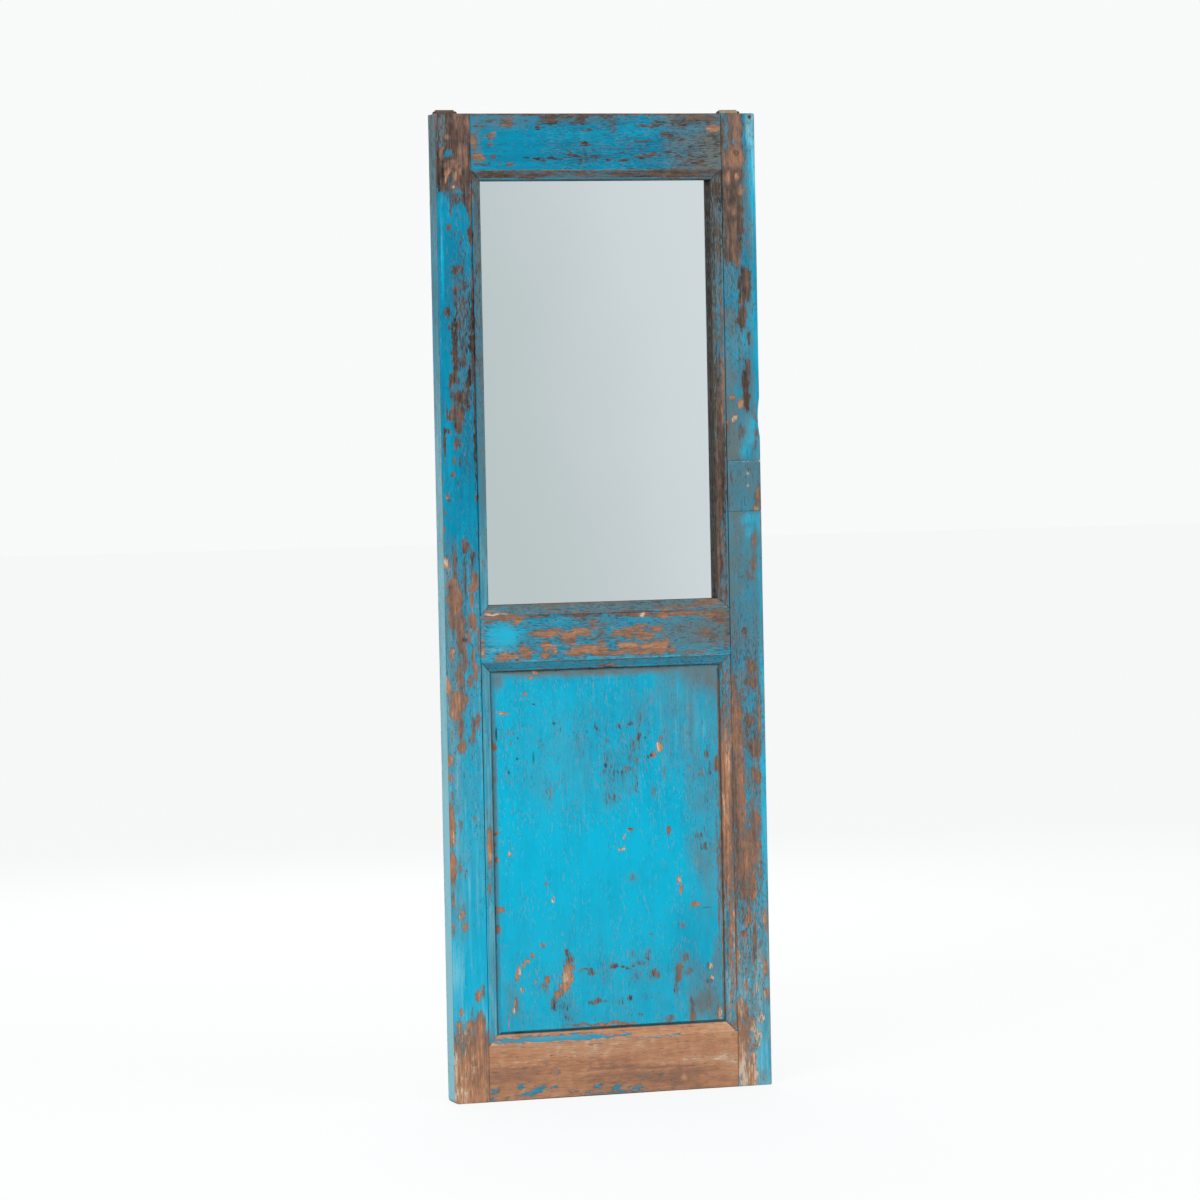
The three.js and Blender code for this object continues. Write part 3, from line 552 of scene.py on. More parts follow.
leftStile = {
    "node": "left_stile",
    "slot": "painted_timber",
    "grain": "up",
    "offset": (0.0, 0.0, 0.0),
    "brushed": 0.6,
    "streaked": 0.4,
    "steps": (10, 20, 17),
    "cuts": {"x": (3.5, 6, 52, 53.6, 57.8, 65.2), "y": (3.6,), "z": (84, 86, 757, 761, 829, 833)},
    "softness": 0.9,
    "base": {
        "loss": ((0, 0.08), (640, 0.12), (760, 0.22), (900, 0.2), (1000, 0.14), (1300, 0.12)),
        "tone": ((0, 0.24), (640, 0.32), (760, 0.64), (1500, 0.68)),
        "cracks": ((0, 0.4), (500, 0.25), (640, 0.3), (760, 0.5), (1000, 0.3), (1250, 0.1), (1500, 0.1)),
        "grime": ((0, 0.0), (640, 0.0), (700, 0.24), (1100, 0.24), (1250, 0.08), (1350, 0.1), (1500, 0.2)),
        "earth": ((0, 0.3), (680, 0.5), (1100, 0.5), (1500, 0.6)),
        "bright": ((0, 0.06), (600, 0.1), (700, 0.3), (900, 0.65), (1150, 0.9), (1500, 1.0)),
        "faded": ((0, 0.0), (640, 0.0), (720, 0.14), (1200, 0.12), (1340, 0.12), (1380, 0.3), (1500, 0.3)),
        "seam": 0.0,
    },
    "bands": (
        (57.5, 75, 86, 1414, 1.5, {
            "grime": ((80, 0.85), (520, 0.75), (620, 0.5), (1100, 0.34), (1414, 0.25)),
            "loss": ((80, 0.3), (420, 0.26), (560, 0.14), (1414, 0.2)),
            "tone": ((80, 0.26), (600, 0.4), (1414, 0.6)), "bright": ((80, 0.1), (700, 0.5), (1414, 0.9)),
            "cracks": ((80, 0.4), (560, 0.3), (1414, 0.2)),
            "faded": ((80, 0.0), (560, 0.03), (640, 0.38), (1000, 0.36), (1414, 0.36)),
        }),
        (-2, 0.7, 0, 1500, 0.9, {
            "loss": ((0, 0.7), (500, 0.4), (560, 0.55), (1150, 0.5), (1250, 0.25), (1500, 0.4)),
            "tone": ((0, 0.2), (520, 0.26), (600, 0.6), (1500, 0.74)), "grime": 0.25,
        }),
        (24, 54, 245, 440, 22, {"loss": 0.38, "cracks": 1.0, "tone": 0.2, "grime": 0.25}),
        (-2, 20, 680, 1240, 10, {"faded": 0.34, "grime": 0.34, "earth": 0.6, "tone": 0.76, "loss": 0.2}),
        (52.2, 54.6, 120, 520, 1.2, {"loss": 0.75, "tone": 0.24}),
        (69, 75, 101, 744, 1.0, {"faded": 0.25, "loss": 0.3}),
    ),
    # the reveal in the opening is darkened for dirt and as painted shade
    "revealDirtAndShade": {"loss": 0.7, "tone": 0.1, "grime": 0.9, "seam": 0.35, "bright": 0.0},
    "worn": (
        # head of the stile
        (28, 20, 34, 40, 1.3, 0.27), (30, 75, 34, 40, 1.3, 0.2), (14, 100, 16, 18, 1.2, 0.2),
        (44, 105, 14, 26, 1.2, 0.26), (30, 10, 30, 12, 1.3, 0.3), (9, 62, 3, 8, 1.0, 0.6),
        (19, 86, 5, 4, 1.0, 0.62), (42, 62, 8, 14, 1.0, 0.42), (52, 128, 5, 10, 1.0, 0.75),
        (18, 35, 4, 4, 1.0, 0.6), (12, 52, 3, 4, 1.0, 0.6), (30, 76, 22, 4, 1.0, 0.4), (18, 92, 3, 4, 1.0, 0.84),
        (15, 99, 2, 3, 1.0, 0.9), (30, 95, 2.4, 4, 1.0, 0.8), (25, 109, 2, 3, 1.0, 0.86), (38, 88, 2, 5, 1.0, 0.66),
        (28, 128, 12, 10, 0.75, 0.2), (46, 128, 8, 12, 0.85, 0.2), (10, 432, 8, 16, 0.62, 0.3),
        (14, 476, 6, 10, 0.6, 0.3), (51, 145, 4, 16, 0.95, 0.2), (52, 183, 5, 14, 1.0, 0.2),
        (18, 171, 6, 6, 0.85, 0.3), (22, 150, 3, 12, 0.6, 0.25), (29, 182, 2, 8, 0.7, 0.2),
        (37, 190, 2, 14, 0.6, 0.2), (29, 236, 6, 8, 0.95, 0.22), (37, 236, 4, 8, 0.8, 0.22),
        (26, 268, 4, 6, 0.9, 0.25), (13, 299, 5, 10, 0.95, 0.22), (28, 285, 2, 40, 0.8, 0.2),
        (40, 280, 2, 45, 0.7, 0.2), (35, 300, 2, 35, 0.65, 0.2), (47, 290, 2, 40, 0.6, 0.2),
        (54, 290, 3, 60, 0.9, 0.22),
        # long bare strip and the big loss
        (26, 322, 12, 8, 0.9, 0.22), (24, 365, 5, 55, 1.0, 0.2), (52, 355, 5, 50, 1.0, 0.22),
        (38, 350, 12, 36, 0.5, 0.2), (40, 375, 9, 10, 0.75, 0.2), (20, 405, 9, 16, 1.0, 0.24),
        (44, 400, 7, 22, 0.95, 0.2), (30, 428, 14, 12, 1.0, 0.2), (18, 452, 12, 14, 1.0, 0.26),
        (30, 455, 8, 22, 0.9, 0.2), (26, 474, 8, 8, 0.9, 0.2), (42, 440, 6, 12, 0.7, 0.2),
        (5, 500, 2, 26, 1.0, 0.2), (8, 480, 4, 8, 0.75, 0.24), (25, 498, 6, 10, 0.8, 0.24),
        (20, 524, 5, 9, 0.6, 0.24), (28, 526, 3, 10, 0.65, 0.22), (17, 545, 4, 5, 0.85, 0.3),
        (25, 558, 3, 6, 0.5, 0.2), (53, 480, 2, 90, 0.8, 0.2), (53, 580, 4, 6, 0.8, 0.26), (7, 578, 4, 6, 0.9, 0.8),
        (10, 583, 4, 4, 0.9, 0.2), (3, 602, 3, 4, 0.85, 0.3), (0, 553, 3, 6, 0.9, 0.4), (0, 628, 3, 6, 0.9, 0.5),
        (10, 612, 3, 3, 0.6, 0.2), (34, 652, 7, 11, 0.85, 0.3), (21, 664, 5, 7, 0.55, 0.3),
        (17, 684, 2.5, 36, 0.95, 0.34), (32, 690, 2, 42, 0.9, 0.3), (43, 676, 2, 24, 0.8, 0.3),
        (49, 668, 5, 8, 0.55, 0.3), (0, 655, 3, 7, 0.8, 0.5), (1, 680, 6, 9, 0.95, 0.86),
        (48, 702, 6, 14, 0.8, 0.5), (12, 710, 9, 9, 0.95, 0.84), (16, 733, 12, 26, 1.15, 0.6),
        (45, 716, 8, 8, 1.0, 0.6), (43, 735, 4, 12, 1.0, 0.58), (44, 766, 6, 14, 1.1, 0.6),
        (12, 765, 8, 14, 0.9, 0.66), (24, 775, 8, 22, 1.1, 0.56), (25, 802, 7, 12, 1.1, 0.56),
        (30, 825, 4, 18, 1.0, 0.58), (43, 828, 3, 20, 1.0, 0.58), (52, 795, 4, 30, 0.6, 0.56),
        (22, 855, 6, 26, 0.95, 0.6), (38, 856, 5, 12, 0.85, 0.58), (36, 790, 4, 10, 0.8, 0.58),
        (10, 815, 5, 10, 0.7, 0.8), (47, 845, 4, 16, 0.75, 0.6), (2, 866, 7, 14, 0.85, 0.84),
        (16, 892, 13, 20, 0.9, 0.66), (30, 884, 6, 10, 0.85, 0.6), (8, 905, 6, 9, 0.8, 0.8),
        (21, 930, 5, 24, 0.85, 0.52), (40, 932, 4, 24, 0.85, 0.5), (48, 918, 6, 14, 0.8, 0.52),
        (22, 957, 8, 9, 0.92, 0.56), (37, 948, 4, 8, 0.7, 0.5), (2, 977, 6, 9, 0.95, 0.84),
        (4, 1002, 6, 5, 0.6, 0.9), (5, 1032, 4, 12, 0.6, 0.6), (3, 1078, 6, 36, 1.0, 0.66),
        (0, 1095, 6, 12, 0.9, 0.84), (4, 1140, 6, 26, 1.0, 0.64), (18, 1076, 4, 12, 0.55, 0.6),
        (40, 1066, 3, 5, 0.6, 0.6), (16, 1142, 4, 9, 0.5, 0.6), (25, 1150, 3, 8, 0.5, 0.6),
        (4, 1185, 3, 18, 0.6, 0.66), (17, 1210, 5, 5, 0.85, 0.82), (22, 1232, 4, 6, 0.8, 0.7),
        (2, 1235, 4, 14, 0.6, 0.66), (40, 1338, 5, 9, 0.95, 0.66), (42, 1385, 9, 26, 1.0, 0.6),
        (48, 1330, 4, 12, 0.75, 0.66), (27, 1382, 8, 10, 0.7, 0.66), (8, 1380, 6, 12, 0.6, 0.8),
        (12, 1360, 4, 6, 0.6, 0.8), (64, 1112, 5, 30, 1.0, 0.8), (62, 1175, 3, 6, 0.8, 0.76),
        (60, 1060, 2, 14, 0.7, 0.6), (64, 680, 3, 8, 0.5, 0.7), (20, 1210, 3, 20, 0.5, 0.66),
        (30, 1372, 4, 22, 0.6, 0.5),
        # foot of the stile
        (27, 1450, 42, 62, 1.0, 0.78), (27, 1492, 40, 16, 1.0, 0.87), (40, 1410, 14, 24, 1.0, 0.68),
        (6, 1410, 6, 26, 0.7, 0.74),
    ),
    "kept": (
        (10, 22, 7, 26, 0.75), (20, 61, 7, 6, 0.9), (24, 101, 5, 7, 0.75), (35, 118, 6, 5, 0.8),
        (46, 372, 3, 12, 1.0), (38, 392, 5, 10, 1.0), (27, 412, 8, 6, 1.0), (12, 436, 4, 14, 0.8),
        (13, 468, 6, 6, 0.8), (8, 400, 5, 30, 0.9), (25, 680, 5, 26, 0.5), (12, 1420, 12, 22, 0.35),
    ),
    "cracks": (
        (38, 300, 14, 110, 1.0), (38, 470, 16, 60, 0.8), (30, 690, 20, 50, 0.9), (30, 820, 24, 90, 0.7),
        (30, 60, 30, 70, 0.8), (28, 1450, 30, 50, 0.2), (12, 560, 10, 90, 0.15),
    ),
    "grime": (
        (12, 22, 10, 30, 1.0), (10, 700, 12, 50, 0.6), (10, 800, 13, 80, 0.7), (12, 940, 14, 60, 0.5),
        (14, 1215, 14, 40, 0.45), (12, 1405, 16, 24, 0.9), (30, 100, 20, 20, 0.7),
    ),
    "bright": (
        # the thin stroke at across 7, drop 220 paints a highlight glinting on the paint near the left edge
        (7, 220, 2.2, 60, 0.6), (16, 1310, 24, 70, 1.0), (42, 1250, 12, 90, 0.9), (8, 540, 10, 120, 0.25),
        (12, 150, 12, 24, 0.3),
    ),
    "faded": (
        # the thin stroke at across 6, drop 215 is part of the same painted highlight
        (8, 1290, 10, 60, 0.4), (20, 1180, 20, 60, 0.16), (6, 215, 1.3, 50, 0.3), (3, 930, 5, 60, 0.3),
        (10, 800, 12, 70, 0.3),
    ),
    "earth": ((30, 60, 40, 80, 0.9), (61, 740, 6, 700, 0.5)),
    "seam": ((55.0, 750, 0.9, 800, 0.85), (29.3, 59, 4.5, 4.5, 0.3)),
    "side": {
        "loss": ((0, 0.34), (140, 0.25), (500, 0.2), (900, 0.12), (1200, 0.02)),
        "tone": ((0, 0.4), (700, 0.6), (1500, 0.85)),
        "grime": ((0, 0.9), (120, 0.8), (190, 0.4), (400, 0.34), (700, 0.3), (1000, 0.12), (1200, 0.0)),
        "bright": ((0, 0.2), (700, 0.4), (1500, 0.9)),
        "faded": ((0, 0.46), (160, 0.36), (300, 0.22), (420, 0.5), (700, 0.9), (1250, 1.0), (1500, 1.0)),
        "earth": ((0, 0.2), (200, 0.2), (600, 0.5), (1500, 0.3)),
    },
    "back": oldBack,
}

rightStile = {
    "node": "right_stile",
    "slot": "painted_timber",
    "grain": "up",
    "offset": (0.37, 0.0, 0.61),
    "clouded": 1.0,
    "brushed": 0.7,
    "streaked": 0.4,
    "steps": (10, 20, 17),
    "cuts": {
        "x": (504, 506.5, 458, 456.4, 452.2, 444.8),
        "y": (3.6,),
        "z": (84, 86, 757, 761, 829, 833, 530.5, 613.5),
    },
    "softness": 0.9,
    "base": {
        "loss": (
            (0, 0.26), (230, 0.2), (520, 0.08), (640, 0.08), (790, 0.14), (870, 0.36), (1190, 0.38), (1250, 0.27),
            (1500, 0.27),
        ),
        "earth": ((0, 0.6), (450, 0.45), (520, 0.4), (640, 0.3), (780, 0.35), (860, 0.8), (1200, 0.7), (1500, 0.7)),
        "tone": ((0, 0.26), (700, 0.34), (900, 0.44), (1190, 0.52), (1260, 0.82), (1500, 0.88)),
        "cracks": ((0, 0.4), (300, 0.3), (500, 0.2), (780, 0.25), (900, 0.6), (1200, 0.5), (1260, 0.25), (1500, 0.15)),
        "grime": ((0, 0.35), (230, 0.4), (520, 0.66), (640, 0.7), (740, 0.6), (850, 0.5), (1200, 0.5), (1500, 0.4)),
        "bright": ((0, 0.2), (800, 0.25), (1000, 0.5), (1250, 0.75), (1500, 0.75)),
        "faded": ((0, 0.04), (1170, 0.05), (1250, 0.34), (1330, 0.44), (1500, 0.44)),
        "seam": 0.0,
    },
    "bands": (
        # this band along the rounded right edge is its paint, and its bright and faded levels are partly a painted
        # highlight along that edge
        (502.5, 513, 40, 1400, 4.5, {
            "grime": ((40, 0.0), (450, 0.05), (560, 0.5), (900, 0.4), (1000, 0.1), (1150, 0.1), (1220, 0.5)),
            "loss": 0.06,
            "bright": ((40, 0.6), (430, 0.4), (620, 0.5), (1000, 0.8), (1400, 0.8)),
            "faded": ((40, 0.2), (300, 0.04), (1000, 0.1), (1200, 0.1), (1250, 0.4), (1400, 0.4)),
        }),
        (452.5, 474, 300, 745, 8, {"grime": 0.84, "earth": 0.5, "faded": 0.0}),
        (435, 452.5, 86, 1414, 1.5, {
            "grime": ((80, 0.5), (420, 0.45), (520, 0.5), (900, 0.4), (960, 0.2), (1414, 0.3)), "cracks": 0.9,
            "loss": (
                (80, 0.5), (400, 0.56), (440, 0.85), (560, 0.85), (620, 0.52), (760, 0.5), (880, 0.36), (960, 0.6),
                (990, 0.9), (1120, 0.9), (1200, 0.5), (1230, 0.34), (1390, 0.34), (1414, 0.8),
            ),
            "tone": ((80, 0.2), (460, 0.24), (600, 0.32), (700, 0.42), (960, 0.6), (1000, 0.78), (1414, 0.84)),
            "earth": 0.5,
            "bright": ((80, 0.0), (700, 0.3), (900, 0.7), (1414, 0.7)),
            "faded": ((80, 0.02), (880, 0.04), (940, 0.2), (1200, 0.3), (1414, 0.4)),
        }),
        # this strip on the moulding's nose by the glass is darkened for dirt and as painted shade beside the reveal
        (435, 440.5, 101, 744, 1.0, {"loss": 0.5, "tone": 0.18, "grime": 0.9}),
        (508.7, 513, 0, 1500, 1.0, {"loss": 0.55, "tone": ((0, 0.3), (900, 0.5), (1500, 0.62))}),
    ),
    # the reveal in the opening is darkened for dirt and as painted shade, darkest around drop 540
    "revealDirtAndShade": {
        "loss": 0.75, "tone": ((540, 0.06), (640, 0.14), (800, 0.14), (860, 0.45)),
        "grime": ((540, 0.95), (640, 0.7), (800, 0.7), (860, 0.3)),
        "seam": ((540, 0.45), (640, 0.4), (800, 0.4), (860, 0.1)),
        "bright": 0.0, "earth": 0.8,
    },
    "worn": (
        (453.6, 1120, 1.2, 250, 0.85, 0.93), (474, 20, 18, 40, 0.95, 0.34), (474, 75, 18, 40, 1.3, 0.34),
        (472, 150, 17, 60, 1.35, 0.23), (470, 205, 15, 30, 1.3, 0.27), (455, 45, 5, 50, 0.9, 0.3),
        (456, 100, 5, 60, 1.0, 0.26), (482, 28, 6, 30, 1.1, 0.42), (466, 40, 5, 12, 0.9, 0.4),
        (472, 70, 18, 10, 1.1, 0.48), (488, 68, 8, 12, 1.1, 0.52), (489, 119, 6, 7, 1.0, 0.74),
        (466, 101, 3, 8, 1.0, 0.7), (479, 97, 3, 5, 1.0, 0.8), (475, 185, 4, 14, 1.1, 0.42),
        (475, 215, 4, 14, 1.1, 0.48), (478, 228, 5, 8, 1.0, 0.5), (496, 200, 4, 7, 1.0, 0.6),
        (474, 150, 3, 5, 1.0, 0.62), (490, 252, 9, 18, 1.2, 0.26), (492, 268, 8, 20, 1.2, 0.26),
        (480, 262, 6, 8, 0.9, 0.26), (484, 282, 6, 14, 1.1, 0.3), (484, 312, 6, 20, 1.2, 0.34),
        (478, 318, 6, 6, 0.9, 0.36), (462, 300, 4, 8, 0.5, 0.3), (494, 345, 3, 12, 0.9, 0.3),
        (492, 390, 4, 14, 1.1, 0.28), (488, 410, 6, 20, 1.2, 0.28), (482, 1072, 8, 34, 0.72, 0.6),
        (478, 1036, 5, 18, 0.7, 0.54), (488, 440, 6, 22, 1.15, 0.3), (466, 438, 8, 4, 0.9, 0.85),
        (478, 446, 4, 9, 0.95, 0.8), (469, 468, 5, 5, 1.0, 0.98), (457, 475, 5, 3, 1.0, 0.9),
        (458, 486, 4, 10, 0.8, 0.5), (480, 488, 8, 14, 0.6, 0.4), (502, 478, 4, 40, 0.7, 0.36),
        (490, 548, 5, 12, 0.3, 0.6), (497, 660, 6, 20, 0.7, 0.6), (495, 692, 6, 14, 0.75, 0.5),
        (485, 706, 5, 9, 0.6, 0.5), (490, 712, 8, 8, 0.6, 0.5), (460, 770, 5, 30, 0.5, 0.45),
        (478, 800, 5, 8, 0.6, 0.45), (489, 850, 11, 15, 0.85, 0.5), (460, 880, 8, 22, 0.85, 0.55),
        (492, 875, 9, 12, 0.8, 0.45), (462, 940, 11, 70, 1.0, 0.52), (464, 1050, 13, 90, 1.0, 0.56),
        (468, 1150, 14, 60, 1.0, 0.54), (490, 975, 12, 18, 0.95, 0.44), (500, 930, 3, 34, 0.8, 0.62),
        (495, 1020, 9, 15, 1.0, 0.5), (486, 1012, 8, 8, 0.8, 0.5), (484, 935, 10, 16, 0.75, 0.42),
        (492, 1085, 10, 14, 0.85, 0.5), (486, 1130, 12, 44, 0.95, 0.48), (484, 1190, 9, 26, 0.95, 0.56),
        (472, 1200, 10, 18, 0.8, 0.48), (466, 1235, 3, 24, 0.75, 0.5), (468, 1265, 7, 5, 0.85, 0.66),
        (487, 1262, 3, 26, 0.85, 0.44), (485, 1292, 3, 16, 0.95, 0.46), (494, 1281, 6, 4, 0.6, 0.55),
        (504, 1245, 4, 18, 0.85, 0.92), (503, 1318, 4, 14, 0.9, 0.84), (503, 1358, 5, 8, 0.85, 0.88),
        (462, 1366, 8, 6, 0.7, 0.6), (470, 1392, 5, 14, 0.95, 0.56), (458, 1400, 6, 40, 0.8, 0.62),
        (466, 1425, 12, 22, 0.8, 0.74), (458, 1455, 12, 34, 1.0, 0.86), (474, 1482, 16, 22, 1.0, 0.9),
        (476, 1447, 3, 4, 0.9, 0.5), (456, 1250, 2, 130, 0.8, 0.62), (480, 1455, 6, 12, 0.8, 0.8),
        (488, 1428, 8, 16, 0.75, 0.92), (480, 1405, 8, 14, 0.7, 0.88), (464, 1375, 8, 16, 0.75, 0.9),
        (494, 1395, 6, 12, 0.6, 0.9), (470, 1345, 5, 14, 0.6, 0.9), (488, 1350, 4, 14, 0.6, 0.9),
        (460, 1300, 4, 16, 0.55, 0.86), (476, 1240, 6, 14, 0.7, 0.7), (509, 620, 2, 60, 0.6, 0.5),
        (509, 1200, 1.6, 80, 0.7, 0.6),
        # moulding
        (446, 112, 7, 16, 1.0, 0.34), (451, 330, 1.6, 50, 0.9, 0.5), (450.5, 430, 1.8, 60, 1.2, 0.56),
        (448, 505, 6, 22, 1.0, 0.3), (444, 570, 9, 60, 1.2, 0.28), (441, 660, 4, 90, 1.2, 0.36),
        (447, 215, 3, 30, 0.8, 0.36), (448, 160, 4, 30, 0.5, 0.36), (442, 1010, 8, 60, 1.0, 0.76),
        (442, 1080, 7, 40, 1.0, 0.76), (445, 1150, 4, 50, 0.8, 0.7), (448, 1250, 2.5, 120, 0.9, 0.7),
        (437, 1200, 2.5, 200, 0.8, 0.46),
    ),
    "kept": (
        (464, 30, 4, 22, 0.8), (476, 46, 6, 4, 0.8), (500, 130, 9, 90, 0.9), (491, 222, 6, 14, 0.9),
        (470, 250, 8, 20, 0.7), (506, 200, 5, 200, 0.95), (494, 478, 9, 12, 0.9), (492, 498, 9, 9, 1.0),
        (480, 516, 8, 12, 0.9), (480, 1030, 5, 40, 0.8), (468, 873, 8, 10, 0.7), (486, 908, 7, 9, 0.9),
        (507, 1080, 5, 110, 0.95), (497, 1465, 9, 34, 1.0), (448, 155, 3, 12, 0.8), (446, 300, 3, 80, 0.6),
    ),
    "cracks": ((476, 260, 24, 90, 0.8), (480, 860, 24, 90, 0.9), (478, 1260, 22, 100, 1.0), (476, 100, 22, 100, 0.7)),
    "grime": (
        (505, 14, 10, 18, 0.5), (464, 30, 6, 26, 0.7), (465, 505, 12, 30, 1.0), (480, 1410, 14, 24, 0.6),
        (497, 1396, 10, 16, 0.7), (500, 1330, 8, 70, 0.5), (497, 180, 8, 70, 0.5), (468, 350, 14, 40, 0.7),
        (468, 150, 20, 100, 0.8), (503, 590, 5, 24, 0.9), (446, 200, 8, 110, 0.8),
    ),
    "bright": (
        # the strokes at across 504 near the head paint the highlight along the rounded right edge
        (504, 120, 6, 100, 0.8), (504, 300, 7, 130, 0.45), (478, 350, 14, 22, 0.45), (494, 478, 9, 12, 1.0),
        (492, 498, 9, 10, 1.0), (480, 516, 8, 12, 0.9), (488, 622, 16, 9, 1.0), (506, 628, 5, 12, 1.0),
        (490, 643, 8, 8, 0.9), (506, 1050, 6, 160, 1.0), (497, 1466, 10, 36, 1.0), (498, 1000, 8, 10, 1.0),
        (499, 1165, 8, 20, 1.0),
    ),
    "faded": (
        # the strokes at across 506 near the head belong to the same painted highlight
        (498, 1140, 8, 100, 0.26), (498, 1030, 8, 60, 0.2), (506, 90, 3, 60, 0.5), (506, 170, 2, 60, 0.15),
        (498, 1462, 8, 34, 0.35), (500, 30, 9, 30, 0.5), (505, 6, 6, 6, 0.5), (496, 90, 6, 50, 0.3),
    ),
    "seam": ((455.0, 750, 0.9, 800, 0.9), (455.0, 1120, 1.4, 270, 0.15), (479.6, 53, 4.5, 4.5, 0.2)),
    "side": {
        "loss": 0.2, "tone": 0.5, "grime": 0.4, "bright": 0.5, "faded": 0.2, "cracks": 0.3,
    },
    "back": oldBack,
}

lockPatch = {
    "node": "lock_patch",
    "slot": "painted_timber",
    "grain": "up",
    "offset": (0.9, 0.0, 0.2),
    "brushed": 0.6,
    "streaked": 0.35,
    "steps": (6, 6, 8),
    "cuts": {"x": (458, 504, 506.5), "z": (535, 608)},
    "softness": 0.7,
    "base": {
        "loss": 0.08, "tone": 0.4, "cracks": 0.5, "grime": 0.8, "bright": 0.3, "faded": 0.04, "seam": 0.0,
        "earth": 0.15,
    },
    "worn": (
        (504, 590, 4, 20, 0.8, 0.62), (500, 610, 8, 4, 0.8, 0.85), (509, 534, 3, 4, 1.0, 1.0),
        (462, 560, 3, 20, 0.4, 0.4),
    ),
    "grime": ((503, 590, 5, 22, 1.0),),
    "faded": ((488, 534.5, 30, 1.5, 0.5), (488, 553, 4.5, 6, 0.5), (488.8, 572, 4, 5, 0.4)),
    "side": {"loss": 0.4, "tone": 0.6, "grime": 0.6},
}

